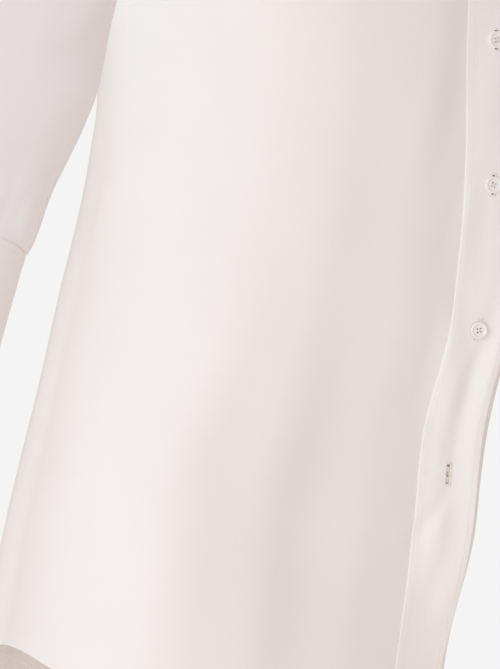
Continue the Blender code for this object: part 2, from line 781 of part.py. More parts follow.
def button(name, seat, out, shank):
    """Turned button with a thread shank; seat is the middle of its under face."""
    profile = [(0.0, -shank), (SHANK_RADIUS, -shank), (SHANK_RADIUS, 0.0)]
    for radius, height in BUTTON_PROFILE[1:]:
        profile.append((radius * BUTTON_RADIUS, height * BUTTON_THICK))
    work = bmesh.new()
    verts = [work.verts.new((wide, 0.0, tall)) for wide, tall in profile]
    for a, b in zip(verts, verts[1:]):
        work.edges.new((a, b))
    mesh = bpy.data.meshes.new(name)
    work.to_mesh(mesh)
    work.free()
    obj = bpy.data.objects.new(name, mesh)
    link(obj)
    turned = obj.modifiers.new("turned", "SCREW")
    turned.angle = math.tau
    turned.steps = BUTTON_STEPS
    turned.render_steps = BUTTON_STEPS
    turned.axis = "Z"
    turned.use_merge_vertices = True
    turned.merge_threshold = 0.00001
    finish(obj, (0.90, 0.89, 0.87), 0.30)
    aim = Vector(out).to_track_quat("Z", "Y").to_matrix().to_4x4()
    obj.data.transform(Matrix.Translation(Vector(seat)) @ aim)


def buttons():
    """Front buttons on the band line, the neck button on the stand and one on each cuff."""
    for number, z in enumerate(button_heights()):
        out = facing(-2.5, z)
        if number == 0:
            button("front_button_0", skin(2.5, z, SEAM_GAP), facing(2.5, z), FLAT_SHANK)
            continue
        seat = skin(-2.5, z, PLACKET_LIFT + SEAM_GAP)
        button("front_button_%d" % number, seat, out, PLACKET_LIFT + body_at(z)["under"])
    seat = stand_point(-2.5, SEAM_GAP + STAND_HEIGHT / 2.0)
    rise = stand_point(-2.5, STAND_HEIGHT) - seat
    run = stand_point(-2.4, SEAM_GAP) - stand_point(-2.6, SEAM_GAP)
    out = np.cross(rise, run)
    out = out / np.linalg.norm(out)
    button("stand_button", seat + out * SEAM_GAP, out, FLAT_SHANK)
    for side, name in ((-1.0, "right_cuff_button"), (1.0, "left_cuff_button")):
        angle = CUFF_START + 360.0 + math.degrees(CUFF_OVERLAP * 0.5 / sleeve_at(1.0)["across"])
        seat = cuff_point(side, angle, CUFF_HEIGHT * 0.5, SEAM_GAP)
        out = cuff_point(side, angle, CUFF_HEIGHT * 0.5, 0.01) - seat
        button(name, seat, out, FLAT_SHANK)


def build():
    for obj in list(bpy.data.objects):
        bpy.data.objects.remove(obj)
    shirt = bpy.data.collections.new(SHIRT)
    bpy.context.scene.collection.children.link(shirt)
    front(-1.0, RIGHT_STEPS, 1.0, "right_front")
    front(1.0, LEFT_STEPS, LEFT_CLOSER, "left_front")
    back()
    yoke()
    placket()
    button_band()
    free_cloth("collar_stand", stand_grid(), BAND_CLOTH)
    collar()
    for side, word in ((-1.0, "right"), (1.0, "left")):
        sleeve(side, word + "_sleeve")
        sleeve_band(side, word + "_sleeve_band")
        cuff(side, word + "_cuff")
    buttons()


build()
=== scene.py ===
"""Looks of a women's white poplin shirt, worn and empty.

Every cloth panel is a fine sheet on the form of its solid, with its creases, seams and sewing, and the
buttons, buttonhole thread, stage and lights are added. Metres, +Z up, wearer facing -Y. Round the body
the place on the cloth is a number from -3 to 3: -3 right front edge, -2 inner line of the buttonhole
band, -1 right side, 0 centre back, 1 left side, 2 inner line of the button band, 3 left front edge.
"""

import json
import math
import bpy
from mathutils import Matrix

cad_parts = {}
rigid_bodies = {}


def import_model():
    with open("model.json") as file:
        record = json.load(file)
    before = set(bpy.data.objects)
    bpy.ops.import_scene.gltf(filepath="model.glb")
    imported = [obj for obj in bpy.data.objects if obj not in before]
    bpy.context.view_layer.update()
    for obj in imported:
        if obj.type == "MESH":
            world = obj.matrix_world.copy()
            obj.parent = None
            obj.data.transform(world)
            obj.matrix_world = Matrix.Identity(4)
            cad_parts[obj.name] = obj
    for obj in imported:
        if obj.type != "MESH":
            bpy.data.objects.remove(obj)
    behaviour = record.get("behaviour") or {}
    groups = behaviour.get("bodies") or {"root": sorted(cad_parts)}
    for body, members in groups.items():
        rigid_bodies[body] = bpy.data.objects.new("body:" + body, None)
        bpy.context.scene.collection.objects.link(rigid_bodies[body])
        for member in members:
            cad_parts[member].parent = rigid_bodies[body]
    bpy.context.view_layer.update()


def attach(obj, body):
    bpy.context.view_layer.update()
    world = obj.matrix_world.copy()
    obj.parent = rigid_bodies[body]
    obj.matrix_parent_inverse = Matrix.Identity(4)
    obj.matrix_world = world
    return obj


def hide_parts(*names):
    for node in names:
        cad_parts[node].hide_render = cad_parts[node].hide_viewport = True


bl_info = {
    "name": "Poplin Shirt",
    "version": (1, 0, 0),
    "blender": (4, 5, 0),
    "location": "View3D > Sidebar > Shirt",
    "description": "Cloth panels, sewing, buttons and stage of a white poplin shirt",
    "category": "Object",
}

import bpy
import numpy as np
from bpy.props import FloatProperty, FloatVectorProperty, IntProperty, PointerProperty
from mathutils import Matrix, Vector

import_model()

# Sizes of the cut, as in the solids
SEAM_GAP = 0.0004
PLACKET_WIDTH = 0.042
BAND_WIDTH = 0.034
PLACKET_LIFT = 0.0004
TUCK = 0.0015
RIDGE_ARM = 0.009
RIDGE_SHARE = 0.12
VALLEY_TURN = 0.45
ROUND = 0.55
HEM_SIDE = -0.781
HEM_FRONT_DROP = 0.095
HEM_BACK_DROP = 0.112
HEM_FRONT_RUN = 0.230
HEM_BACK_RUN = 0.235
HEM_LEVEL = -0.800
SEAM_AT_HEM = 0.74
SEAM_AT_ARM = 0.93
ARM_MIDDLE = 0.98
ARM_FRONT = 0.30
ARM_BACK = 0.28
ARM_HEIGHT = -0.1865
ARM_RISE = 0.0985
ARM_FRONT_END = 155.0
ARM_BACK_END = 223.4
YOKE_BACK = -0.115
YOKE_NECK = 1.42
YOKE_SAG = 0.010
STAND_HEIGHT = 0.030
STAND_LEAN = 0.10
STAND_ROUND = 0.014
COLLAR_GAP = 0.0010
COLLAR_RISE = 0.0085
COLLAR_REACH = 0.0130
COLLAR_CLEAR = 0.0050
COLLAR_END = 2.4
BUTTON_THICK = 0.0022
HOLE_PLACE = 0.20
HOLE_RADIUS = 0.115
BUTTON_SPACING = 0.094
BUTTON_LAST = -0.673
FRONT_BUTTONS = 7
HOLE_LENGTH = 0.0125
HOLE_WIDTH = 0.0018
OPEN_HOLE_WIDTH = 0.0026
HOLE_THREAD = 0.00055
BUTTON_THREAD = 0.00034
CUFF_HEIGHT = 0.065
CUFF_OVERLAP = 0.030
CUFF_STEP = 0.0028
CUFF_START = 270.0
SLIT_FROM = 273.1
SLIT_TO = 297.9
SLIT_START = 0.40
SLIT_END = 0.975
BAND_LIFT = 0.0018
PLEAT_START = 0.40
PLEAT_RISE = 0.40
PLEAT_FADE = 0.12
UNDERARM_OUT = 0.8
CAP_SPREAD = 0.30
CAP_REACH = 0.45
CAP_LENGTH = 0.11
SLEEVE_LENGTH = 0.225
GIRTH_QUARTER = 0.25
SEAM_TURN = 62.0
HEM_LINES = (0.0016, 0.0045, 0.0078, 0.0092, 0.0106)
SEAM_LINES = (0.0060, 0.0180, 0.0290, 0.0350, 0.0420)
HOLE_BAND_LINES = (0.0, 0.03, 0.07, 0.105, 0.13, 0.155, 0.22, 0.29, 0.36, 0.42, 0.46, 0.48)
BUTTON_BAND_LINES = (0.0, 0.04, 0.09, 0.13, 0.17, 0.28, 0.4, 0.5, 0.6, 0.72, 0.83, 0.87, 0.91, 0.96, 1.0)
BAND_ROUND = 0.0004

# Turned cloth of each seam: its width and how far it is raised
RELIEFS = {
    "hem": (0.0075, 0.00030),
    "side": (0.0045, 0.00010),
    "yoke": (0.0050, 0.00022),
    "band": (0.0052, 0.00012),
    "band_end": (0.0075, 0.00020),
    "stand": (0.0022, 0.00015),
    "collar": (0.0058, 0.00025),
    "sleeve": (0.0070, 0.00055),
    "slit": (0.0020, 0.00015),
    "cuff": (0.0055, 0.00022),
}

# Distance of the stitches from each edge or seam
STITCHES_IN = {"hem": 0.0063, "yoke": 0.0036, "armhole": 0.0062, "collar": 0.0045, "cuff": 0.0045}

# Plan of the body at each height
BODY = (
    ("height", "front", "turn", "turn_left", "half_right", "half_left", "side_right", "side_left", "back",
     "under"),
    (0.012, 0.024, 2.0, 2.0, 0.052, 0.052, 0.002, 0.002, 0.052, 0.0026),
    (0.000, 0.031, 2.0, 2.0, 0.068, 0.068, 0.002, 0.002, 0.060, 0.0026),
    (-0.020, 0.043, 2.0, 2.0, 0.108, 0.108, 0.003, 0.003, 0.069, 0.0026),
    (-0.050, 0.060, 3.0, 3.0, 0.164, 0.164, 0.005, 0.005, 0.080, 0.0026),
    (-0.075, 0.072, 3.0, 3.0, 0.211, 0.211, 0.008, 0.008, 0.088, 0.0026),
    (-0.090, 0.079, 4.0, 4.0, 0.232, 0.232, 0.010, 0.010, 0.092, 0.0026),
    (-0.115, 0.095, 5.0, 5.0, 0.236, 0.236, 0.012, 0.012, 0.098, 0.0026),
    (-0.160, 0.122, 7.0, 7.0, 0.226, 0.226, 0.014, 0.014, 0.104, 0.0026),
    (-0.220, 0.148, 9.0, 9.0, 0.209, 0.209, 0.014, 0.014, 0.106, 0.0026),
    (-0.285, 0.161, 15.0, 14.0, 0.193, 0.193, 0.010, 0.010, 0.099, 0.0026),
    (-0.360, 0.166, 25.0, 20.0, 0.177, 0.178, 0.007, 0.010, 0.090, 0.0026),
    (-0.421, 0.166, 30.0, 24.0, 0.168, 0.168, 0.006, 0.011, 0.087, 0.0026),
    (-0.550, 0.1585, 36.0, 29.0, 0.187, 0.180, 0.009, 0.019, 0.111, 0.0026),
    (-0.650, 0.1340, 38.0, 32.0, 0.207, 0.190, 0.012, 0.030, 0.133, 0.0075),
    (-0.705, 0.1275, 36.0, 34.0, 0.218, 0.195, 0.014, 0.036, 0.145, 0.0075),
    (-0.803, 0.1079, 13.0, 36.0, 0.237, 0.203, 0.016, 0.042, 0.165, 0.0075),
    (-0.900, 0.0890, 8.0, 36.0, 0.256, 0.212, 0.016, 0.046, 0.183, 0.0075),
)

# Neckline: place round the body and height
NECK = (
    ("place", "height"),
    (0.000, -0.012),
    (0.500, -0.007),
    (1.000, 0.000),
    (1.300, -0.003),
    (1.445, -0.006),
    (1.560, -0.010),
    (1.645, -0.015),
    (1.700, -0.020),
    (1.770, -0.030),
    (1.815, -0.040),
    (1.853, -0.050),
    (1.890, -0.060),
    (1.935, -0.067),
    (2.000, -0.071),
    (3.000, -0.071),
)

# Large soft folds, as in the solids
FOLDS = (
    ("low", "high", "width", "depth", "start"),
    (-1.72, -1.74, 0.16, -0.0040, -0.200),
    (-1.30, -1.34, 0.20, 0.0030, -0.420),
    (-0.62, -0.72, 0.13, 0.0070, -0.360),
    (-0.40, -0.52, 0.12, -0.0100, -0.300),
    (-0.16, -0.22, 0.12, 0.0085, -0.330),
    (0.10, 0.05, 0.11, -0.0095, -0.260),
    (0.33, 0.30, 0.12, 0.0080, -0.400),
    (0.58, 0.66, 0.13, -0.0075, -0.380),
    (1.22, 1.18, 0.16, -0.0065, -0.440),
    (1.52, 1.50, 0.14, 0.0035, -0.360),
)

# Sleeve sections below the armhole (right sleeve)
SLEEVE = (
    ("along", "x", "y", "z", "across", "fore"),
    (0.00, -0.2610, 0.0250, -0.305, 0.0640, 0.0750),
    (0.20, -0.2740, 0.0310, -0.361, 0.0640, 0.0740),
    (0.45, -0.2860, 0.0370, -0.421, 0.0620, 0.0710),
    (0.62, -0.2970, 0.0375, -0.470, 0.0520, 0.0560),
    (0.80, -0.3050, 0.0362, -0.503, 0.0420, 0.0450),
    (1.00, -0.3120, 0.0380, -0.523, 0.0370, 0.0395),
)
PLEATS = (
    ("angle", "width", "depth"),
    (200.0, 14.0, -0.0040),
    (228.0, 13.0, 0.0034),
    (256.0, 14.0, -0.0036),
    (300.0, 17.0, 0.0024),
    (120.0, 22.0, -0.0022),
)
COLLAR = (
    ("place", "to_place", "drop"),
    (0.00, 0.00, 0.010),
    (0.50, 0.50, 0.011),
    (1.00, 1.00, 0.014),
    (1.42, 1.42, 0.018),
    (1.65, 1.62, 0.022),
    (1.80, 1.745, 0.026),
    (1.90, 1.84, 0.030),
    (2.00, 1.91, 0.036),
    (2.40, 1.935, 0.050),
)

# Creases of the body. Girth is metres round from the centre back, left plus; a crease runs from its
# first girth and height to its second, bowed sideways by its bend; depth is outward plus.
CREASES = (
    ("girth_a", "height_a", "girth_b", "height_b", "bend", "width", "depth"),
    (-0.497, -0.555, -0.512, -0.650, 0.002, 0.0085, 0.0020),
    (-0.530, -0.570, -0.526, -0.715, -0.003, 0.0065, -0.0019),
    (-0.541, -0.520, -0.533, -0.640, 0.003, 0.0060, 0.0015),
    (-0.517, -0.688, -0.514, -0.750, 0.002, 0.0080, 0.0015),
    (-0.524, -0.680, -0.492, -0.722, 0.003, 0.0045, -0.0009),
    (-0.518, -0.668, -0.500, -0.668, 0.002, 0.0035, -0.0005),
    (-0.535, -0.700, -0.530, -0.790, 0.002, 0.0080, 0.0013),
    (-0.508, -0.470, -0.502, -0.560, -0.002, 0.0070, 0.0009),
    (-0.545, -0.330, -0.505, -0.470, 0.004, 0.0100, 0.0010),
    (-0.500, -0.340, -0.470, -0.520, 0.006, 0.0120, -0.0010),
    (-0.430, -0.560, -0.360, -0.740, 0.010, 0.0280, 0.0016),
    (-0.480, -0.210, -0.400, -0.330, 0.006, 0.0160, -0.0013),
    (-0.330, -0.360, -0.250, -0.330, -0.006, 0.0120, -0.0014),
    (-0.340, -0.400, -0.240, -0.385, 0.005, 0.0140, 0.0012),
    (-0.300, -0.430, -0.220, -0.440, 0.006, 0.0110, -0.0012),
    (-0.330, -0.540, -0.270, -0.690, 0.008, 0.0220, -0.0013),
    (-0.300, -0.250, -0.400, -0.190, 0.006, 0.0120, -0.0014),
    (-0.290, -0.285, -0.420, -0.240, -0.006, 0.0130, 0.0011),
    (0.300, -0.255, 0.410, -0.200, 0.006, 0.0125, -0.0014),
    (0.285, -0.290, 0.400, -0.262, -0.008, 0.0120, 0.0012),
    (0.330, -0.370, 0.240, -0.350, 0.006, 0.0125, -0.0015),
    (0.340, -0.415, 0.235, -0.405, -0.005, 0.0130, 0.0012),
    (0.480, -0.300, 0.440, -0.470, -0.006, 0.0140, -0.0012),
    (0.400, -0.520, 0.350, -0.720, 0.010, 0.0240, 0.0015),
    (0.300, -0.500, 0.290, -0.700, -0.008, 0.0200, -0.0014),
    (0.200, -0.330, 0.070, -0.390, 0.010, 0.0150, -0.0016),
    (0.190, -0.375, 0.050, -0.440, 0.008, 0.0160, 0.0013),
    (-0.190, -0.320, -0.060, -0.400, -0.010, 0.0150, -0.0016),
    (-0.195, -0.370, -0.040, -0.420, -0.008, 0.0170, 0.0014),
    (-0.180, -0.425, -0.030, -0.470, 0.006, 0.0150, -0.0013),
    (0.150, -0.150, 0.080, -0.280, 0.006, 0.0180, -0.0012),
    (-0.160, -0.160, -0.070, -0.300, -0.008, 0.0170, -0.0012),
    (0.030, -0.125, 0.020, -0.300, 0.003, 0.0200, 0.0012),
    (0.120, -0.560, 0.150, -0.820, 0.006, 0.0200, 0.0016),
    (-0.110, -0.540, -0.090, -0.800, -0.006, 0.0220, -0.0016),
)

# Creases of a sleeve. Girth is metres round from the outer line, front plus; length is metres down.
SLEEVE_CREASES = (
    ("girth_a", "height_a", "girth_b", "height_b", "bend", "width", "depth"),
    (-0.110, -0.050, -0.060, -0.150, 0.010, 0.0120, -0.0020),
    (-0.080, -0.030, -0.020, -0.110, 0.008, 0.0130, 0.0016),
    (0.090, -0.050, 0.060, -0.160, -0.008, 0.0120, -0.0018),
    (0.060, -0.030, 0.020, -0.120, -0.006, 0.0140, 0.0013),
    (0.160, -0.120, 0.080, -0.190, 0.008, 0.0110, -0.0018),
    (0.170, -0.160, 0.070, -0.215, 0.007, 0.0120, 0.0016),
    (0.160, -0.205, 0.060, -0.235, 0.006, 0.0110, -0.0020),
    (0.150, -0.240, 0.050, -0.262, -0.005, 0.0100, 0.0015),
    (-0.160, -0.170, -0.060, -0.225, 0.008, 0.0130, -0.0018),
    (-0.150, -0.215, -0.050, -0.255, -0.007, 0.0120, 0.0016),
    (-0.020, -0.190, 0.030, -0.280, 0.008, 0.0140, -0.0014),
    (0.020, -0.220, -0.010, -0.310, 0.004, 0.0090, 0.0014),
    (-0.050, -0.250, -0.045, -0.325, 0.004, 0.0080, -0.0015),
    (0.070, -0.265, 0.060, -0.328, -0.003, 0.0070, -0.0013),
    (0.100, -0.270, 0.095, -0.330, 0.003, 0.0075, 0.0012),
    (0.030, -0.280, 0.032, -0.330, 0.000, 0.0060, 0.0010),
    (-0.090, -0.275, -0.085, -0.330, 0.000, 0.0070, 0.0012),
)

# Soft unevenness of the cloth: direction, wavelength and height of each wave
WAVES = (
    ("direction", "length", "height", "phase"),
    (20.0, 0.170, 0.00035, 0.3),
    (75.0, 0.120, 0.00025, 1.7),
    (130.0, 0.095, 0.00020, 4.1),
    (165.0, 0.210, 0.00040, 2.6),
    (48.0, 0.061, 0.00010, 5.2),
)

# Camera, as the photograph was taken
TURN = math.radians(-58.0)
DISTANCE = 5.0
SHOT_HEIGHT = 669
METRE_PER_DOT = 0.00066
SHOT_ACROSS = -0.01822
SHOT_LEVEL = -0.58205
FLOOR_LEVEL = -1.43
# Lamps round the middle of the picture. Turn is the azimuth, rise is for each metre out, lower is how far
# below the middle a lamp aims, and lit and shading are the groups it lights and that shade it.
LAMPS = (
    ("name", "turn", "rise", "away", "lower", "size", "power", "color", "lit", "shading"),
    ("key_light", -87.0, 0.12, 4.0, 0.0, 3.0, 62.0, (0.78, 0.92, 1.0), "trunk", "trunk"),
    ("arm_light", -66.0, 0.12, 4.0, 0.0, 3.0, 52.0, (0.66, 0.80, 1.0), "arms", None),
    ("low_light", -58.0, -0.25, 1.8, 0.2, 0.8, 3.6, (0.78, 0.92, 1.0), "trunk", "trunk"),
    ("slit_light", -58.0, 0.0, 1.5, 0.0, 0.5, 8.0, (1.0, 0.79, 0.58), "lowest_button", "lowest_button"),
)
BOUNCE_RISE = 0.1
BOUNCE_BACK = 0.02
BOUNCE_SIZE = 0.9
BOUNCE_POWER = 2.6
BOUNCE_COLOR = (1.0, 0.90, 0.80)
SHOWN_GREY = 0.904
ROOM_COLOR = (0.712, 0.610, 0.575)
MADE = ("_cloth", "_stitches", "_threads", "_turned")


def column(table, name):
    """One named column of a table."""
    place = table[0].index(name)
    return np.array([row[place] for row in table[1:]], dtype=float)


def curve(table, key, name):
    """Smooth curve through one column of a table that never overshoots its rows."""
    xs, ys = column(table, key), column(table, name)
    order = np.argsort(xs)
    xs, ys = xs[order], ys[order]
    step = np.diff(xs)
    rise = np.diff(ys) / step
    slopes = np.concatenate(([rise[0]], np.zeros(len(xs) - 2), [rise[-1]]))
    for i in range(1, len(xs) - 1):
        if rise[i - 1] * rise[i] > 0.0:
            a = 2.0 * step[i] + step[i - 1]
            b = step[i] + 2.0 * step[i - 1]
            slopes[i] = (a + b) / (a / rise[i - 1] + b / rise[i])

    def read(x):
        x = np.clip(x, xs[0], xs[-1])
        i = np.clip(np.searchsorted(xs, x, side="right") - 1, 0, len(xs) - 2)
        t = (x - xs[i]) / step[i]
        ends = (1.0 + 2.0 * t) * (1.0 - t) ** 2 * ys[i] + t * t * (3.0 - 2.0 * t) * ys[i + 1]
        return ends + step[i] * (t * (1.0 - t) ** 2 * slopes[i] - t * t * (1.0 - t) * slopes[i + 1])

    return read


def reader(table, key):
    return {name: curve(table, key, name) for name in table[0] if name != key}


BODY_AT = reader(BODY, "height")
SLEEVE_AT = reader(SLEEVE, "along")
COLLAR_AT = reader(COLLAR, "place")
neck_curve = curve(NECK, "place", "height")


def bezier(points, t):
    """Points at t on Bezier curves of three or four points."""
    t = np.asarray(t)[..., None]
    level = list(points)
    while len(level) > 1:
        level = [a * (1.0 - t) + b * t for a, b in zip(level, level[1:])]
    return level[0]


def ease(x):
    """Soft step from 0 to 1."""
    return (1.0 - np.cos(np.pi * np.clip(x, 0.0, 1.0))) / 2.0


def hump(x):
    """Soft bump, 1 in the middle and nothing beyond 1 either way."""
    return (1.0 + np.cos(np.pi * np.minimum(np.abs(x), 1.0))) / 2.0


def pair(x, y):
    x, y = np.broadcast_arrays(x, y)
    return np.stack([x, y], axis=-1).astype(float)


def plan(q, z):
    """Plan points of the cloth at places q and heights z, before folds."""
    row = {name: read(z) for name, read in BODY_AT.items()}
    side = np.where(q < 0.0, -1.0, 1.0)
    right = side < 0.0
    p = 3.0 - np.abs(q)
    turn = np.radians(row["turn"])
    along = pair(-np.cos(turn), np.sin(turn))
    out = pair(-np.sin(turn), -np.cos(turn))
    half = np.where(right, row["half_right"], row["half_left"])
    widest = np.where(right, row["side_right"], row["side_left"])
    edge = pair(side * half, widest)
    reach = ROUND * (row["back"] - widest)
    level, back = 0.0 * q, row["back"]
    rear = (edge, edge + pair(level, reach), pair(side * ROUND * half, back), pair(level, back))
    rear = bezier(rear, np.clip(p - 2.0, 0.0, 1.0))
    middle = pair(0.0 * q, -row["front"])
    band = middle + along * ((p - 0.5) * PLACKET_WIDTH)[..., None]
    start = middle + along * 0.5 * PLACKET_WIDTH
    valley = turn * VALLEY_TURN
    heading = pair(-np.cos(valley), np.sin(valley))
    share = p - 1.0
    under = middle - out * row["under"][..., None]
    under_band = under - along * ((p - 0.5) * BAND_WIDTH)[..., None]
    under_start = under - along * 0.5 * BAND_WIDTH
    turn_left = np.radians(row["turn_left"])
    left_heading = pair(np.cos(turn_left), np.sin(turn_left))
    corner = under_start - along * RIDGE_ARM
    left_start = corner + left_heading * RIDGE_ARM
    ridge = bezier((under_start, corner, left_start), np.clip((p - 1.0) / RIDGE_SHARE, 0.0, 1.0))
    left_share = (p - 1.0 - RIDGE_SHARE) / (1.0 - RIDGE_SHARE)
    start = np.where(right[..., None], start, left_start)
    heading = np.where(right[..., None], heading, left_heading)
    share = np.clip(np.where(right, share, left_share), 0.0, 1.0)
    first = start + heading * (ROUND * np.abs(edge[..., 0] - start[..., 0]))[..., None]
    last = edge - pair(0.0 * q, ROUND * (edge[..., 1] - start[..., 1]))
    front = bezier((start, first, last, edge), share)
    banded = np.where(right[..., None], band, under_band)
    turned = (~right & (p > 1.0) & (p <= 1.0 + RIDGE_SHARE))[..., None]
    found = np.where((p <= 1.0)[..., None], banded, np.where(turned, ridge, front))
    return np.where((p >= 2.0)[..., None], rear, found)


def folds(q, z):
    """Depth of the large folds, outward plus."""
    total = np.zeros(np.broadcast(q, z).shape)
    for low, high, width, depth, start in FOLDS[1:]:
        fall = ease((start - z) / (start - HEM_SIDE))
        total = total + depth * fall * hump((q - (high + (low - high) * fall)) / width)
    return total


def form(q, z):
    """Points on the outer face of the solid body cloth."""
    q, z = np.broadcast_arrays(np.asarray(q, dtype=float), np.asarray(z, dtype=float))
    run = plan(q + 0.01, z) - plan(q - 0.01, z)
    run = run / np.linalg.norm(run, axis=-1, keepdims=True)
    point = plan(q, z) + folds(q, z)[..., None] * np.stack([-run[..., 1], run[..., 0]], axis=-1)
    return np.concatenate([point, z[..., None]], axis=-1)


def unit(vectors):
    return vectors / np.maximum(np.linalg.norm(vectors, axis=-1, keepdims=True), 1e-12)


def facing(q, z):
    """Outward directions of the body cloth."""
    run = form(np.minimum(q + 0.012, 3.0), z) - form(np.maximum(q - 0.012, -3.0), z)
    rise = form(q, z + 0.004) - form(q, z - 0.004)
    return unit(np.cross(rise, run))


def creased(table, girth, height):
    """Depth of the listed creases: each a soft bowed trough or ridge with small shoulders."""
    total = np.zeros(np.broadcast(girth, height).shape)
    for girth_a, height_a, girth_b, height_b, bend, width, depth in table[1:]:
        run = np.array([girth_b - girth_a, height_b - height_a])
        length = float(np.hypot(*run))
        run = run / length
        x, y = girth - girth_a, height - height_a
        t = np.clip((x * run[0] + y * run[1]) / length, 0.0, 1.0)
        aside = x * run[1] - y * run[0] - bend * 4.0 * t * (1.0 - t)
        wide = width * (0.75 + 0.5 * t)
        core = np.exp(-(aside / wide) ** 2)
        shoulder = 0.35 * np.exp(-((np.abs(aside) / wide - 1.9) / 0.8) ** 2)
        total = total + depth * np.sin(np.pi * t) ** 1.3 * (core - shoulder)
    return total


def waved(girth, height):
    """Soft unevenness of the cloth."""
    total = 0.0
    for direction, length, size, phase in WAVES[1:]:
        turn = math.radians(direction)
        along = girth * math.cos(turn) + height * math.sin(turn)
        total = total + size * np.sin(math.tau * along / length + phase)
    return total


def girth_of(q):
    inner = np.minimum(np.abs(q), 2.0) * GIRTH_QUARTER
    return np.sign(q) * (inner + np.maximum(np.abs(q) - 2.0, 0.0) * PLACKET_WIDTH)


def skin(q, z, lift=0.0):
    """Points on the dressed cloth of the body, moved out by lift."""
    q, z = np.broadcast_arrays(np.asarray(q, dtype=float), np.asarray(z, dtype=float))
    girth = girth_of(q)
    calm = ease((0.012 - z) / 0.10)
    depth = (creased(CREASES, girth, z) + waved(girth, z)) * calm + lift
    return form(q, z) + facing(q, z) * depth[..., None]


def neck_height(q):
    return neck_curve(np.abs(q))


def seam_place(z):
    """Place of the side seam at a height, without its side."""
    share = ease((z - HEM_SIDE) / (ARM_HEIGHT - ARM_RISE - HEM_SIDE))
    return SEAM_AT_HEM + (SEAM_AT_ARM - SEAM_AT_HEM) * share


def arm_loop(side, degrees):
    """Places and heights of the armhole seam."""
    angle = np.radians(degrees)
    bulge = np.where(np.asarray(degrees) <= 180.0, ARM_FRONT, ARM_BACK)
    lower = (1.0 + np.cos(angle)) / 2.0
    middle = ARM_MIDDLE + (SEAM_AT_ARM - ARM_MIDDLE) * lower
    return pair(side * (middle + bulge * np.sin(angle)), ARM_HEIGHT - ARM_RISE * np.cos(angle))


def hem_line(start, end, shares, drop, run, both):
    """Hem of one panel; the side seam is at the end."""
    places = np.linspace(start, end, 241)
    points = form(places, HEM_LEVEL)
    lengths = np.concatenate(([0.0], np.cumsum(np.linalg.norm(np.diff(points, axis=0), axis=1))))
    along = np.asarray(shares) * lengths[-1]
    away = np.minimum(along, lengths[-1] - along) if both else lengths[-1] - along
    return pair(np.interp(along, lengths, places), HEM_SIDE - drop * ease(away / run))


def yoke_front(side, share):
    """Front seam of the yoke from the neck corner to the armhole."""
    share = np.asarray(share)
    neck = np.array([side * YOKE_NECK, float(neck_height(YOKE_NECK))])
    tip = arm_loop(side, ARM_FRONT_END)
    sag = pair(0.0 * share, YOKE_SAG * np.sin(np.pi * share))
    return neck + (tip - neck) * share[..., None] - sag


def yoke_back(share):
    """Back seam of the yoke from the left armhole to the right."""
    place, height = arm_loop(1.0, ARM_BACK_END)
    q = place * (1.0 - 2.0 * np.asarray(share))
    return pair(q, height + (YOKE_BACK - height) * ease(2.0 * (1.0 - np.abs(q) / place)))


def neck_line(side, shares):
    """Neckline of a front from its band to the yoke, even along the cloth."""
    places = np.linspace(2.0, YOKE_NECK, 121)
    points = form(side * places, neck_height(places))
    lengths = np.concatenate(([0.0], np.cumsum(np.linalg.norm(np.diff(points, axis=0), axis=1))))
    q = side * np.interp(np.asarray(shares) * lengths[-1], lengths, places)
    return pair(q, neck_height(q))


def patch(bottom, top, left, right, u, v):
    """Grid of places and heights that fills four border curves."""
    u, v = u[None, :, None], v[:, None, None]
    cross = (1.0 - v) * bottom[None] + v * top[None] + (1.0 - u) * left[:, None] + u * right[:, None]
    corners = (1.0 - u) * ((1.0 - v) * bottom[0] + v * top[0]) + u * ((1.0 - v) * bottom[-1] + v * top[-1])
    return cross - corners


def two_part(shares, split, first, second):
    """Border in two parts: the first up to the split of its length, then the second."""
    shares = np.asarray(shares)
    low = first(np.clip(shares / split, 0.0, 1.0))
    high = second(np.clip((shares - split) / (1.0 - split), 0.0, 1.0))
    return np.where((shares <= split)[:, None], low, high)


def steps(count, low=(), high=(), marks=()):
    """Even shares of a border with more lines at given shares from its ends and at its marks."""
    start = low[-1] if low else 0.0
    end = 1.0 - (high[-1] if high else 0.0)
    even = np.linspace(start, end, count + 1)
    found = list(even) + [0.0, 1.0] + list(low) + [1.0 - x for x in high]
    for mark in marks:
        nearest = int(np.argmin(np.abs(even - mark)))
        found.remove(even[nearest])
        found.append(mark)
    return np.array(sorted(set(round(float(x), 7) for x in found)))


def edge_lengths(grid):
    """Metres from the left, right, bottom and top borders at every point of a grid."""
    across = np.linalg.norm(np.diff(grid, axis=1), axis=-1)
    up = np.linalg.norm(np.diff(grid, axis=0), axis=-1)
    left = np.concatenate([np.zeros((grid.shape[0], 1)), np.cumsum(across, axis=1)], axis=1)
    bottom = np.concatenate([np.zeros((1, grid.shape[1])), np.cumsum(up, axis=0)], axis=0)
    return left, left[:, -1:] - left, bottom, bottom[-1:] - bottom


def seam_relief(away, along, fold, height):
    """A seam's turned cloth, raised over its width, with a dip along its stitches and a slight pucker."""
    raised = height * ease((fold + 0.0016 - away) / 0.0016)
    dip = -0.5 * height * np.exp(-((away - fold + 0.0012) / 0.0012) ** 2)
    pucker = 0.25 * height * np.sin(math.tau * along / 0.017 + 3.0 * np.sin(along / 0.045))
    return raised + dip + pucker * np.exp(-(away / 0.010) ** 2)


def clear_selection():
    if bpy.context.object and bpy.context.object.mode != "OBJECT":
        bpy.ops.object.mode_set(mode="OBJECT")
    bpy.ops.object.select_all(action="DESELECT")


def only(obj):
    clear_selection()
    obj.select_set(True)
    bpy.context.view_layer.objects.active = obj


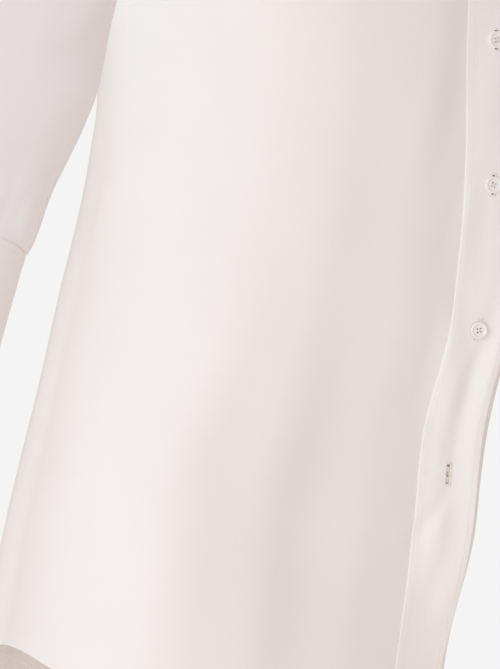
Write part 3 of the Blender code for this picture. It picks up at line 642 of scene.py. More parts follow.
def shaped_grid(name, points, wrapped=False):
    """Grid primitive laid on points, with a map of the cloth in metres."""
    high, wide = points.shape[0], points.shape[1]
    clear_selection()
    bpy.ops.mesh.primitive_grid_add(x_subdivisions=wide - 1, y_subdivisions=high - 1, size=1.0)
    obj = bpy.context.object
    obj.name = obj.data.name = name
    obj.data.vertices.foreach_set("co", points.reshape(-1).astype(np.float32))
    left, _, bottom, _ = edge_lengths(points)
    corners = np.zeros(len(obj.data.loops), dtype=np.int64)
    obj.data.loops.foreach_get("vertex_index", corners)
    flat = np.stack([left.reshape(-1)[corners], bottom.reshape(-1)[corners]], axis=-1)
    obj.data.uv_layers[0].name = "cloth"
    obj.data.uv_layers[0].data.foreach_set("uv", flat.reshape(-1).astype(np.float32))
    obj.data.update()
    if wrapped:
        only(obj)
        bpy.ops.object.mode_set(mode="EDIT")
        bpy.ops.mesh.select_all(action="SELECT")
        bpy.ops.mesh.remove_doubles(threshold=0.00002)
        bpy.ops.object.mode_set(mode="OBJECT")
    return obj


def cut_faces(obj, inside):
    """Deletes the faces whose middles pass the test."""
    only(obj)
    bpy.ops.object.mode_set(mode="EDIT")
    bpy.ops.mesh.select_mode(type="FACE")
    bpy.ops.mesh.select_all(action="DESELECT")
    bpy.ops.object.mode_set(mode="OBJECT")
    for face in obj.data.polygons:
        face.select = inside(face.center)
    bpy.ops.object.mode_set(mode="EDIT")
    bpy.ops.mesh.delete(type="FACE")
    bpy.ops.object.mode_set(mode="OBJECT")


def thicken(obj, wall, rounded=0.0):
    """Gives a sheet its wall, inward, and soft edges."""
    only(obj)
    wall_step = obj.modifiers.new("wall", "SOLIDIFY")
    wall_step.thickness = wall
    wall_step.offset = -1.0
    wall_step.use_even_offset = True
    wall_step.use_quality_normals = True
    bpy.ops.object.modifier_apply(modifier="wall")
    if rounded > 0.0:
        edge = obj.modifiers.new("edge", "BEVEL")
        edge.width = rounded
        edge.segments = 2
        edge.limit_method = "ANGLE"
        edge.angle_limit = math.radians(50.0)
        bpy.ops.object.modifier_apply(modifier="edge")
    bpy.ops.object.shade_smooth_by_angle(angle=math.radians(50.0))


def dress(obj, node, material):
    """Gives a piece its material and lets it stand for its solid."""
    obj.data.materials.clear()
    obj.data.materials.append(bpy.data.materials[material])
    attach(obj, "root")
    if node:
        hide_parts(node)


def dress_cloth(obj):
    """Gives a cloth panel its finish."""
    node = obj.name.replace("_cloth", "")
    dress(obj, node, finish("poplin"))


def start_material(name, color, **values):
    """A material and its shader, with the shader's sockets set by name."""
    mat = bpy.data.materials.new(name)
    mat.use_nodes = True
    mat.diffuse_color = (*color, 1.0)
    shader = mat.node_tree.nodes["Principled BSDF"]
    for socket, value in values.items():
        shader.inputs[socket.replace("_", " ")].default_value = value
    return mat, shader


def add_node(mat, kind, **values):
    """A shader node with its sockets set by name."""
    node = mat.node_tree.nodes.new("ShaderNode" + kind)
    for socket, value in values.items():
        node.inputs[socket.replace("_", " ")].default_value = value
    return node


def combine(mat, operation, *sources):
    """Sum or product of sockets and numbers."""
    node = add_node(mat, "Math")
    node.operation = operation
    for place, source in enumerate(sources):
        if isinstance(source, float):
            node.inputs[place].default_value = source
        else:
            mat.node_tree.links.new(source, node.inputs[place])
    return node.outputs["Value"]


def tint(mat, shader, source, color, shades, places=(0.0, 1.0)):
    """Colour that goes from the first shade to the second with a pattern."""
    ramp = add_node(mat, "ValToRGB")
    for stop, shade, place in zip(ramp.color_ramp.elements, shades, places):
        stop.position = place
        stop.color = (*[min(1.0, c * shade) for c in color], 1.0)
    mat.node_tree.links.new(source, ramp.inputs["Fac"])
    mat.node_tree.links.new(ramp.outputs["Color"], shader.inputs["Base Color"])


def roughen(mat, shader, source, strength, depth):
    """Fine relief from a pattern."""
    bump = add_node(mat, "Bump", Strength=strength, Distance=depth)
    mat.node_tree.links.new(source, bump.inputs["Height"])
    mat.node_tree.links.new(bump.outputs["Normal"], shader.inputs["Normal"])


def cloudy(mat, scale, detail, distortion=0.0):
    """Cloudy pattern fixed to the object."""
    place = add_node(mat, "TexCoord")
    cloud = add_node(mat, "TexNoise", Scale=scale, Detail=detail, Distortion=distortion)
    mat.node_tree.links.new(place.outputs["Object"], cloud.inputs["Vector"])
    return cloud.outputs["Fac"]


def cloth_material(name, color, rough, yarn):
    """Poplin: fine plain weave, slubs and a soft sheen, all on the cloth's own map."""
    mat, shader = start_material(name, color, Roughness=rough, Sheen_Weight=0.10, Sheen_Roughness=0.45,
                                 Specular_IOR_Level=0.25)
    links = mat.node_tree.links
    uv = add_node(mat, "UVMap")
    uv.uv_map = "cloth"
    yarns = []
    for turned in (0.0, math.pi / 2.0):
        place = add_node(mat, "Mapping", Rotation=(0.0, 0.0, turned))
        wave = add_node(mat, "TexWave", Scale=math.tau / (20.0 * yarn), Distortion=0.8, Detail=1.0,
                        Detail_Scale=0.6)
        wave.wave_type = "BANDS"
        wave.bands_direction = "X"
        links.new(uv.outputs["UV"], place.inputs["Vector"])
        links.new(place.outputs["Vector"], wave.inputs["Vector"])
        yarns.append(wave.outputs["Fac"])
    slub_place = add_node(mat, "Mapping", Scale=(1600.0, 60.0, 1.0))
    slub = add_node(mat, "TexNoise", Scale=1.0, Detail=2.0)
    cloud = add_node(mat, "TexNoise", Scale=9.0, Detail=3.0)
    links.new(uv.outputs["UV"], slub_place.inputs["Vector"])
    links.new(slub_place.outputs["Vector"], slub.inputs["Vector"])
    links.new(uv.outputs["UV"], cloud.inputs["Vector"])
    blend = combine(mat, "MULTIPLY_ADD", slub.outputs["Fac"], 0.35, cloud.outputs["Fac"])
    tint(mat, shader, blend, color, (0.975, 1.012), (0.35, 0.95))
    weave = combine(mat, "MULTIPLY", *yarns)
    roughen(mat, shader, combine(mat, "MULTIPLY_ADD", slub.outputs["Fac"], 0.5, weave), 0.18, 0.00008)


def thread_material(name, color):
    """Spun sewing thread with a faint twist."""
    mat, shader = start_material(name, color, Roughness=0.55, Sheen_Weight=0.15)
    twist = cloudy(mat, 1800.0, 1.0)
    tint(mat, shader, twist, color, (0.93, 1.0))
    roughen(mat, shader, twist, 0.25, 0.00005)


def button_material(name, color):
    """Pearly white polished plastic."""
    mat, shader = start_material(name, color, Roughness=0.24, Coat_Weight=0.35, Coat_Roughness=0.10,
                                 Subsurface_Weight=0.08, Subsurface_Radius=(0.002, 0.002, 0.0018))
    cloud = cloudy(mat, 260.0, 2.0, 1.2)
    tint(mat, shader, cloud, color, (0.94, 1.0), (0.30, 0.75))
    roughen(mat, shader, cloud, 0.05, 0.00010)


class ShirtSettings(bpy.types.PropertyGroup):
    """Sizes and colours of the shirt that can be changed."""
    wall: FloatProperty(
        name="Cloth wall", description="Thickness of a body panel", default=0.0008, min=0.0002, max=0.0012,
        precision=4, unit="LENGTH")
    band_wall: FloatProperty(
        name="Band wall", description="Thickness of the bands, stand and collar", default=0.0014,
        min=0.0004, max=0.0016, precision=4, unit="LENGTH")
    cuff_wall: FloatProperty(
        name="Cuff wall", description="Thickness of a cuff", default=0.0017, min=0.0004, max=0.0020,
        precision=4, unit="LENGTH")
    detail: IntProperty(
        name="Detail", description="Columns of cloth faces over one front", default=96, min=24, max=120)
    yarn: FloatProperty(
        name="Yarn", description="Distance between two yarns of the weave", default=0.00045, min=0.0002,
        max=0.001, precision=5, unit="LENGTH")
    stitch_pitch: FloatProperty(
        name="Stitch pitch", description="Distance from one stitch to the next", default=0.0026, min=0.0015,
        max=0.005, precision=4, unit="LENGTH")
    stitch_thick: FloatProperty(
        name="Stitch thickness", description="Thickness of the sewing thread", default=0.00030, min=0.0001,
        max=0.001, precision=5, unit="LENGTH")
    button_radius: FloatProperty(
        name="Button radius", description="Outer radius of a button", default=0.0056, min=0.003, max=0.0056,
        precision=4, unit="LENGTH")
    cloth_color: FloatVectorProperty(
        name="Cloth colour", description="Colour of the poplin", subtype="COLOR",
        default=(0.880, 0.865, 0.850), min=0.0, max=1.0)
    thread_color: FloatVectorProperty(
        name="Thread colour", description="Colour of the sewing thread", subtype="COLOR",
        default=(0.89, 0.875, 0.86), min=0.0, max=1.0)
    hole_color: FloatVectorProperty(
        name="Buttonhole thread colour", description="Colour of the buttonhole thread", subtype="COLOR",
        default=(0.90, 0.87, 0.84), min=0.0, max=1.0)
    button_color: FloatVectorProperty(
        name="Button colour", description="Colour of the buttons", subtype="COLOR",
        default=(0.90, 0.89, 0.87), min=0.0, max=1.0)
    floor_color: FloatVectorProperty(
        name="Floor colour", description="Colour of the pale floor", subtype="COLOR",
        default=(0.85, 0.85, 0.85), min=0.0, max=1.0)


def settings():
    return bpy.context.scene.shirt_settings


def finish(name):
    """The named finish, made when it is first asked for."""
    if name not in bpy.data.materials:
        s = settings()
        if name == "poplin":
            cloth_material(name, s.cloth_color, 0.80, s.yarn)
        elif name == "sewing_thread":
            thread_material(name, s.thread_color)
        elif name == "buttonhole_thread":
            thread_material(name, s.hole_color)
        else:
            button_material(name, s.button_color)
    return name


def body_panel(name, rows, relief, wall, lift=0.0, flip=False, rounded=0.0, cut=None):
    """A sheet on the body from a grid of places and heights, with the relief of its seams."""
    q, z = rows[..., 0], rows[..., 1]
    points = skin(q, z, lift)
    left, right, bottom, top = edge_lengths(points)
    points = points + facing(q, z) * relief(left, right, bottom, top)[..., None]
    if flip:
        points = points[:, ::-1]
    obj = shaped_grid(name, points)
    if cut:
        cut_faces(obj, cut)
    thicken(obj, wall, rounded)
    return obj


class SHIRT_OT_fronts(bpy.types.Operator):
    """Right and left front with turned hem, side seam and armhole"""
    bl_idname = "shirt.fronts"
    bl_label = "Fronts"

    def execute(self, context):
        s = settings()
        for side, word in ((-1.0, "right"), (1.0, "left")):
            closer = 1.0 if side < 0.0 else 1.25
            u = steps(s.detail, (0.004, 0.012), SEAM_LINES, (0.36,)) ** closer
            v = steps(int(s.detail * 2.3), HEM_LINES, (), (4.0 / 7.0,))
            end = side * float(seam_place(HEM_SIDE))
            bottom = hem_line(side * 2.0, end, u, HEM_FRONT_DROP, HEM_FRONT_RUN, False)
            split = 0.36 ** closer
            top = two_part(u, split, lambda x: neck_line(side, x), lambda x: yoke_front(side, x))
            bottom_z = float(bottom[0, 1])
            left = pair(side * 2.0 + 0.0 * v, bottom_z + (float(neck_height(2.0)) - bottom_z) * v)
            right = two_part(v, 4.0 / 7.0, lambda x: self.seam(side, x),
                             lambda x: arm_loop(side, ARM_FRONT_END * x))
            rows = patch(bottom, top, left, right, u, v)
            tucked = [rows[:, :1] + np.array([side * away / PLACKET_WIDTH, 0.0]) for away in (TUCK, 0.0002)]
            rows = np.concatenate(tucked + [rows], axis=1)
            obj = body_panel(word + "_front_cloth", rows, self.relief, s.wall, flip=side < 0.0)
            dress_cloth(obj)
        return {"FINISHED"}

    @staticmethod
    def seam(side, share):
        z = HEM_SIDE + (ARM_HEIGHT - ARM_RISE - HEM_SIDE) * share
        return pair(side * seam_place(z), z)

    @staticmethod
    def relief(left, right, bottom, top):
        hem = seam_relief(bottom, left, *RELIEFS["hem"])
        side = seam_relief(right, bottom, *RELIEFS["side"])
        return hem + side - 0.0003 * ease((TUCK - 0.0003 - left) / (TUCK - 0.0003))


class SHIRT_OT_back_and_yoke(bpy.types.Operator):
    """Back with shirt-tail hem, and the yoke over the shoulders"""
    bl_idname = "shirt.back_and_yoke"
    bl_label = "Back and Yoke"

    def execute(self, context):
        s = settings()
        seam = float(seam_place(HEM_SIDE))
        u = steps(int(s.detail * 1.7), (0.0030,), (0.0030,))
        v = steps(int(s.detail * 2.1), HEM_LINES, (), (16.0 / 27.0,))
        bottom = hem_line(seam, -seam, u, HEM_BACK_DROP, HEM_BACK_RUN, True)
        split = 16.0 / 27.0
        sides = []
        for side in (1.0, -1.0):
            arm = lambda x, side=side: arm_loop(side, 360.0 - (360.0 - ARM_BACK_END) * x)
            sides.append(two_part(v, split, lambda x, side=side: SHIRT_OT_fronts.seam(side, x), arm))
        rows = patch(bottom, yoke_back(u), sides[0], sides[1], u, v)
        obj = body_panel("back_cloth", rows, self.back_relief, s.wall)
        dress_cloth(obj)
        u = steps(int(s.detail * 1.7), (), (), (0.1667, 0.8333))
        v = steps(int(s.detail * 0.5), (0.012, 0.030, 0.048), ())
        left_arm = lambda x: arm_loop(1.0, ARM_FRONT_END + (ARM_BACK_END - ARM_FRONT_END) * x)
        right_arm = lambda x: arm_loop(-1.0, ARM_BACK_END - (ARM_BACK_END - ARM_FRONT_END) * x)
        inner = lambda x: two_part(x, 0.8, yoke_back, right_arm)
        bottom = two_part(u, 0.1667, left_arm, inner)
        q = YOKE_NECK * (1.0 - 2.0 * u)
        top = pair(q, neck_height(q))
        rows = patch(bottom, top, yoke_front(1.0, 1.0 - v), yoke_front(-1.0, 1.0 - v), u, v)
        obj = body_panel("yoke_cloth", rows, self.yoke_relief, s.wall)
        dress_cloth(obj)
        return {"FINISHED"}

    @staticmethod
    def back_relief(left, right, bottom, top):
        return seam_relief(bottom, left, *RELIEFS["hem"])

    @staticmethod
    def yoke_relief(left, right, bottom, top):
        back = seam_relief(bottom, left, *RELIEFS["yoke"])
        return back + seam_relief(np.minimum(left, right), bottom, *RELIEFS["yoke"])


def button_heights():
    return [BUTTON_LAST + BUTTON_SPACING * i for i in range(FRONT_BUTTONS)]


def hole_half(z):
    """Half width of the nearest buttonhole's slit."""
    return np.where(np.abs(z - BUTTON_LAST) < 0.02, OPEN_HOLE_WIDTH, HOLE_WIDTH) / 2.0


class SHIRT_OT_bands(bpy.types.Operator):
    """Buttonhole band with its slits, and the button band under it"""
    bl_idname = "shirt.bands"
    bl_label = "Front Bands"

    def execute(self, context):
        s = settings()
        bottom, top = HEM_SIDE - HEM_FRONT_DROP, float(neck_height(3.0))
        heights = list(np.linspace(bottom, top, int(s.detail * 3.0)))
        for middle in button_heights():
            ends = np.linspace(-0.5, 0.5, 9) * HOLE_LENGTH + middle
            heights = [z for z in heights if abs(z - middle) > HOLE_LENGTH / 2.0 + 0.0012] + list(ends)
        heights = np.array(sorted(heights))
        rows = np.zeros((len(heights), 2 * len(HOLE_BAND_LINES), 2))
        half = hole_half(heights) / PLACKET_WIDTH
        for i, share in enumerate(HOLE_BAND_LINES):
            near = share if share < 0.47 else 0.5 - half
            rows[:, i, 0] = -2.0 - near
            rows[:, -1 - i, 0] = -3.0 + near
        rows[..., 1] = heights[:, None]
        obj = body_panel("buttonhole_band_cloth", rows, self.relief, s.band_wall, PLACKET_LIFT,
                         rounded=BAND_ROUND, cut=self.slits())
        dress_cloth(obj)
        heights = np.linspace(bottom, top, int(s.detail * 2.2))
        rows = pair(3.0 - np.array(BUTTON_BAND_LINES)[None, :], heights[:, None])
        obj = body_panel("button_band_cloth", rows, self.relief, s.band_wall, rounded=BAND_ROUND)
        dress_cloth(obj)
        return {"FINISHED"}

    @staticmethod
    def slits():
        """Test for the faces inside a slit, on the middle line of the band."""
        middles = [skin(-2.5, z, PLACKET_LIFT) for z in button_heights()]

        def inside(center):
            for middle in middles:
                if abs(center[2] - middle[2]) < HOLE_LENGTH / 2.0:
                    aside = math.hypot(center[0] - middle[0], center[1] - middle[1])
                    return aside < 0.0008
            return False

        return inside

    @staticmethod
    def relief(left, right, bottom, top):
        edges = seam_relief(np.minimum(left, right), bottom, *RELIEFS["band"])
        return edges + seam_relief(bottom, left, *RELIEFS["band_end"])


def stand_point(q, rise):
    """Points on the outer face of the collar stand, rise above the neckline."""
    base = form(q, neck_height(q))
    inward = unit(-base * np.array([1.0, 1.0, 0.0]))
    return base + np.asarray(rise)[..., None] * (np.array([0.0, 0.0, 1.0]) + STAND_LEAN * inward)


def stand_height(q):
    """Height of the stand, rounded off at its front corners."""
    away = (3.0 - np.abs(q)) * PLACKET_WIDTH
    share = np.clip(1.0 - away / STAND_ROUND, 0.0, 1.0)
    return STAND_HEIGHT - STAND_ROUND * (1.0 - np.sqrt(np.maximum(0.0, 1.0 - share * share)))


def grid_facing(grid):
    """Directions square to a grid, on the side that sees its columns run right and its rows run up."""
    return unit(np.cross(np.gradient(grid, axis=1), np.gradient(grid, axis=0)))


def neck_places():
    """Places along the neckline from the left front edge to the right."""
    ends = np.concatenate([np.linspace(3.0, 2.67, 12), np.linspace(2.66, 2.0, 12)[1:]])
    front = neck_line(1.0, np.linspace(0.0, 1.0, 36))[1:, 0]
    rear = np.linspace(YOKE_NECK, -YOKE_NECK, 90)[1:-1]
    return np.concatenate([ends, front, rear, -front[::-1], -ends[::-1]])


def stand_grid(count):
    q = neck_places()
    rows = []
    for share in np.linspace(0.0, 1.0, count):
        rows.append(stand_point(q, SEAM_GAP + share * stand_height(q)))
    return q, np.array(rows)


class SHIRT_OT_collar(bpy.types.Operator):
    """Collar stand and the collar leaf that falls over it"""
    bl_idname = "shirt.collar"
    bl_label = "Collar"

    def execute(self, context):
        s = settings()
        q, stand = stand_grid(13)
        out = grid_facing(stand)
        left, right, bottom, top = edge_lengths(stand)
        relief = seam_relief(np.minimum.reduce((left, right, bottom, top)), left, *RELIEFS["stand"])
        obj = shaped_grid("collar_stand_cloth", stand + out * relief[..., None])
        thicken(obj, s.band_wall, BAND_ROUND)
        dress_cloth(obj)
        leaf = self.leaf(q, stand, out)
        walls = grid_facing(leaf)
        left, right, bottom, top = edge_lengths(leaf)
        relief = seam_relief(np.minimum.reduce((left, right, top)), left + bottom, *RELIEFS["collar"])
        obj = shaped_grid("collar_cloth", leaf + walls * relief[..., None])
        thicken(obj, s.band_wall, BAND_ROUND)
        dress_cloth(obj)
        return {"FINISHED"}

    @staticmethod
    def leaf(q, stand, out):
        """Outer face of the leaf from its root on the stand, over the roll, to its edge and points."""
        part = np.abs(q) <= COLLAR_END + 1e-6
        roots = stand[-1] - out[-1] * 0.0016 + np.array([0.0, 0.0, COLLAR_GAP])
        away = unit(out[-1] * np.array([1.0, 1.0, 0.0]))[part]
        q, roots = q[part], roots[part]
        place = np.sign(q) * COLLAR_AT["to_place"](np.abs(q))
        height = neck_height(place) - COLLAR_AT["drop"](np.abs(q))
        tip = form(place, height) + facing(place, height) * COLLAR_CLEAR
        top = roots + np.array([0.0, 0.0, COLLAR_RISE])
        bends = (roots, top, top + away * COLLAR_REACH, tip)
        shares = np.concatenate([np.linspace(0.0, 0.85, 22), [0.88, 0.91, 0.94, 0.96, 0.98, 1.0]])
        leaf = np.array([bezier(bends, np.full(len(q), share)) for share in shares])
        return leaf[:, ::-1]


def sleeve_frame(along):
    """Middles, inward, forward and downward directions and half widths of right sleeve sections."""
    along = np.asarray(along, dtype=float)

    def middle(x):
        return np.stack([SLEEVE_AT[name](x) for name in ("x", "y", "z")], axis=-1)

    axis = unit(middle(np.minimum(along + 0.02, 1.0)) - middle(np.maximum(along - 0.02, 0.0)))
    ahead = np.zeros(axis.shape)
    ahead[..., 1] = -1.0
    ahead = unit(ahead - axis * np.sum(ahead * axis, axis=-1, keepdims=True))
    return middle(along), np.cross(ahead, axis), ahead, axis


def sleeve_ring(side, degrees, along, lift=0.0, beyond=0.0):
    """Points of sleeve sections; beyond runs on past a section along the sleeve."""
    degrees, along = np.broadcast_arrays(np.asarray(degrees, dtype=float), np.asarray(along, dtype=float))
    middle, inward, ahead, axis = sleeve_frame(along)
    angle = np.radians(degrees)
    strength = np.minimum(ease((along - PLEAT_START) / PLEAT_RISE), (1.0 - along) / PLEAT_FADE)
    puff = lift + 0.0 * along
    for at, width, depth in PLEATS[1:]:
        puff = puff + depth * hump(((degrees - at + 180.0) % 360.0 - 180.0) / width) * strength
    point = middle + axis * np.asarray(beyond)[..., None]
    point = point + inward * ((SLEEVE_AT["across"](along) + puff) * np.cos(angle))[..., None]
    point = point + ahead * ((SLEEVE_AT["fore"](along) + puff) * np.sin(angle))[..., None]
    return point * np.array([-side, 1.0, 1.0])


def sleeve_cap(side, degrees, share):
    """Points between the armhole seam and the first sleeve section."""
    loop = arm_loop(side, degrees)
    q, z = loop[..., 0], loop[..., 1]
    start = form(q, z)
    body = form(q - (side * ARM_MIDDLE - q) * 0.12, z - (ARM_HEIGHT - z) * 0.12)
    flow = start - body
    flow[..., 1] = -CAP_SPREAD * np.sin(np.radians(degrees)) * np.linalg.norm(flow, axis=-1)
    flow = unit(flow)
    low = (((1.0 + np.cos(np.radians(degrees))) / 2.0) ** 2)[..., None]
    drop = np.array([side * UNDERARM_OUT, 0.0, -1.0])
    heading = unit(flow * (1.0 - low) + drop / np.linalg.norm(drop) * low)
    start = start + np.array([side * SEAM_GAP, 0.0, 0.0]) * low
    end = sleeve_ring(side, degrees, 0.0)
    axis = sleeve_frame(0.0)[3] * np.array([-side, 1.0, 1.0])
    reach = np.linalg.norm(end - start, axis=-1, keepdims=True) * CAP_REACH
    return bezier((start, start + heading * reach, end - axis * reach, end), share)


def sleeve_point(side, degrees, length, lift=0.0):
    """Points of the dressed sleeve, length metres down from the armhole, moved out by lift."""
    degrees, length = np.broadcast_arrays(np.asarray(degrees, dtype=float), np.asarray(length, dtype=float))

    def plain(turn, down):
        cap = sleeve_cap(side, turn, np.clip(down / CAP_LENGTH, 0.0, 1.0))
        ring = sleeve_ring(side, turn, np.clip((down - CAP_LENGTH) / SLEEVE_LENGTH, 0.0, 1.0))
        return np.where((down < CAP_LENGTH)[..., None], cap, ring)

    point = plain(degrees, length)
    turned = plain(degrees + 2.0, length) - plain(degrees - 2.0, length)
    run_down = plain(degrees, np.minimum(length + 0.003, CAP_LENGTH + SLEEVE_LENGTH))
    run_down = run_down - plain(degrees, np.maximum(length - 0.003, 0.0))
    out = unit(np.cross(turned, run_down)) * side
    girth = ((degrees + 360.0) % 360.0 - 180.0) / 360.0 * -0.44
    shift = 0.0 if side < 0.0 else 0.011
    whole = CAP_LENGTH + SLEEVE_LENGTH
    calm = ease(length / 0.02) * ease((whole - length) / 0.012 + 0.25)
    depth = creased(SLEEVE_CREASES, girth + shift, -length + shift)
    depth = depth + 1.2 * waved(girth * 1.1 + side, -length)
    return point + out * (depth * calm + lift)[..., None], out


def sleeve_seam(length):
    """Angle of the sleeve seam, which runs round to the front on its way down."""
    return SEAM_TURN * ease((length - 0.02) / 0.22)


class SHIRT_OT_sleeves(bpy.types.Operator):
    """Set-in sleeves with their felled seam, slit bands and folds"""
    bl_idname = "shirt.sleeves"
    bl_label = "Sleeves"

    def execute(self, context):
        s = settings()
        whole = CAP_LENGTH + SLEEVE_LENGTH
        for side, word in ((-1.0, "right"), (1.0, "left")):
            downs = np.linspace(0.006, whole - 0.002, int(s.detail * 1.1))
            downs = np.concatenate([[0.0, 0.002, 0.004], downs, [whole]])
            offsets = np.linspace(0.0, 360.0, int(s.detail * 1.5) + 1)
            degrees = sleeve_seam(downs)[:, None] + offsets[None, :]
            points, out = sleeve_point(side, degrees, downs[:, None])
            ridge = seam_relief(0.40 * offsets[None, :] / 360.0, downs[:, None], *RELIEFS["sleeve"])
            points = points + out * ridge[..., None]
            points[:, -1] = points[:, 0]
            if side > 0.0:
                points = points[:, ::-1]
            obj = shaped_grid(word + "_sleeve_cloth", points, wrapped=True)
            thicken(obj, s.wall)
            dress_cloth(obj)
            self.slit_band(side, word)
        return {"FINISHED"}

    @staticmethod
    def slit_band(side, word):
        s = settings()
        downs = CAP_LENGTH + np.linspace(SLIT_START, SLIT_END, 60)[:, None] * SLEEVE_LENGTH
        turns = np.linspace(SLIT_FROM, SLIT_TO, 12)[None, :]
        points, out = sleeve_point(side, turns, downs, BAND_LIFT)
        left, right, bottom, top = edge_lengths(points)
        edge = np.minimum.reduce((left, right, bottom, top))
        points = points + out * seam_relief(edge, bottom, *RELIEFS["slit"])[..., None]
        if side > 0.0:
            points = points[:, ::-1]
        obj = shaped_grid(word + "_sleeve_band_cloth", points)
        thicken(obj, s.wall, 0.0003)
        dress_cloth(obj)


def cuff_point(side, degrees, down, lift=0.0):
    """Points on the outer face of a cuff; past a whole turn it laps over its own start."""
    spiral = CUFF_STEP * (degrees - CUFF_START) / 360.0
    return sleeve_ring(side, degrees, 1.0 + 0.0 * np.asarray(degrees), spiral + lift, SEAM_GAP / 2.0 + down)


def cuff_lap():
    return math.degrees(CUFF_OVERLAP / float(SLEEVE_AT["across"](1.0)))


class SHIRT_OT_cuffs(bpy.types.Operator):
    """Cuffs that lap over themselves"""
    bl_idname = "shirt.cuffs"
    bl_label = "Cuffs"

    def execute(self, context):
        s = settings()
        for side, word in ((-1.0, "right"), (1.0, "left")):
            downs = np.concatenate([[0.0, 0.0015, 0.003], np.linspace(0.0055, CUFF_HEIGHT - 0.0075, 18),
                                    CUFF_HEIGHT - np.array([0.006, 0.0045, 0.003, 0.0015, 0.0])])
            degrees = np.linspace(CUFF_START, CUFF_START + 360.0 + cuff_lap(), 150)
            turn, down = np.meshgrid(degrees, downs)
            points = cuff_point(side, turn, down)
            out = grid_facing(points) * -side
            left, right, bottom, top = edge_lengths(points)
            edge = np.minimum.reduce((left, right, bottom, top))
            soft = 0.00035 * np.sin(left / 0.021 + 1.3 * side) * np.sin(bottom / 0.019)
            relief = seam_relief(edge, left + bottom, *RELIEFS["cuff"]) + soft
            points = points + out * relief[..., None]
            if side > 0.0:
                points = points[:, ::-1]
            obj = shaped_grid(word + "_cuff_cloth", points)
            thicken(obj, s.cuff_wall, 0.0005)
            dress_cloth(obj)
        return {"FINISHED"}


def button_seats():
    """Name, seat and facing of every button."""
    seats = []
    for number, z in enumerate(button_heights()):
        z = np.array(z)
        if number == 0:
            seats.append(("front_button_0", form(2.5, z) + facing(2.5, z) * SEAM_GAP, facing(2.5, z)))
        else:
            seat = form(-2.5, z) + facing(-2.5, z) * (PLACKET_LIFT + SEAM_GAP)
            seats.append(("front_button_%d" % number, seat, facing(-2.5, z)))
    middle = np.array(-2.5)
    seat = stand_point(middle, np.array(SEAM_GAP + STAND_HEIGHT / 2.0))
    rise = stand_point(middle, np.array(STAND_HEIGHT)) - seat
    run = stand_point(middle + 0.1, np.array(SEAM_GAP)) - stand_point(middle - 0.1, np.array(SEAM_GAP))
    out = unit(np.cross(rise, run))
    seats.append(("stand_button", seat + out * SEAM_GAP, out))
    for side, name in ((-1.0, "right_cuff_button"), (1.0, "left_cuff_button")):
        angle = np.array(CUFF_START + 360.0 + cuff_lap() * 0.5)
        seat = cuff_point(side, angle, np.array(CUFF_HEIGHT * 0.5 + SEAM_GAP / 2.0), SEAM_GAP)
        out = unit(cuff_point(side, angle, np.array(CUFF_HEIGHT * 0.5 + SEAM_GAP / 2.0), 0.01) - seat)
        seats.append((name, seat, out))
    return seats


def place_matrix(seat, out, spin):
    aim = Vector(out).to_track_quat("Z", "Y").to_matrix().to_4x4()
    return Matrix.Translation(Vector(seat)) @ aim @ Matrix.Rotation(spin, 4, "Z")


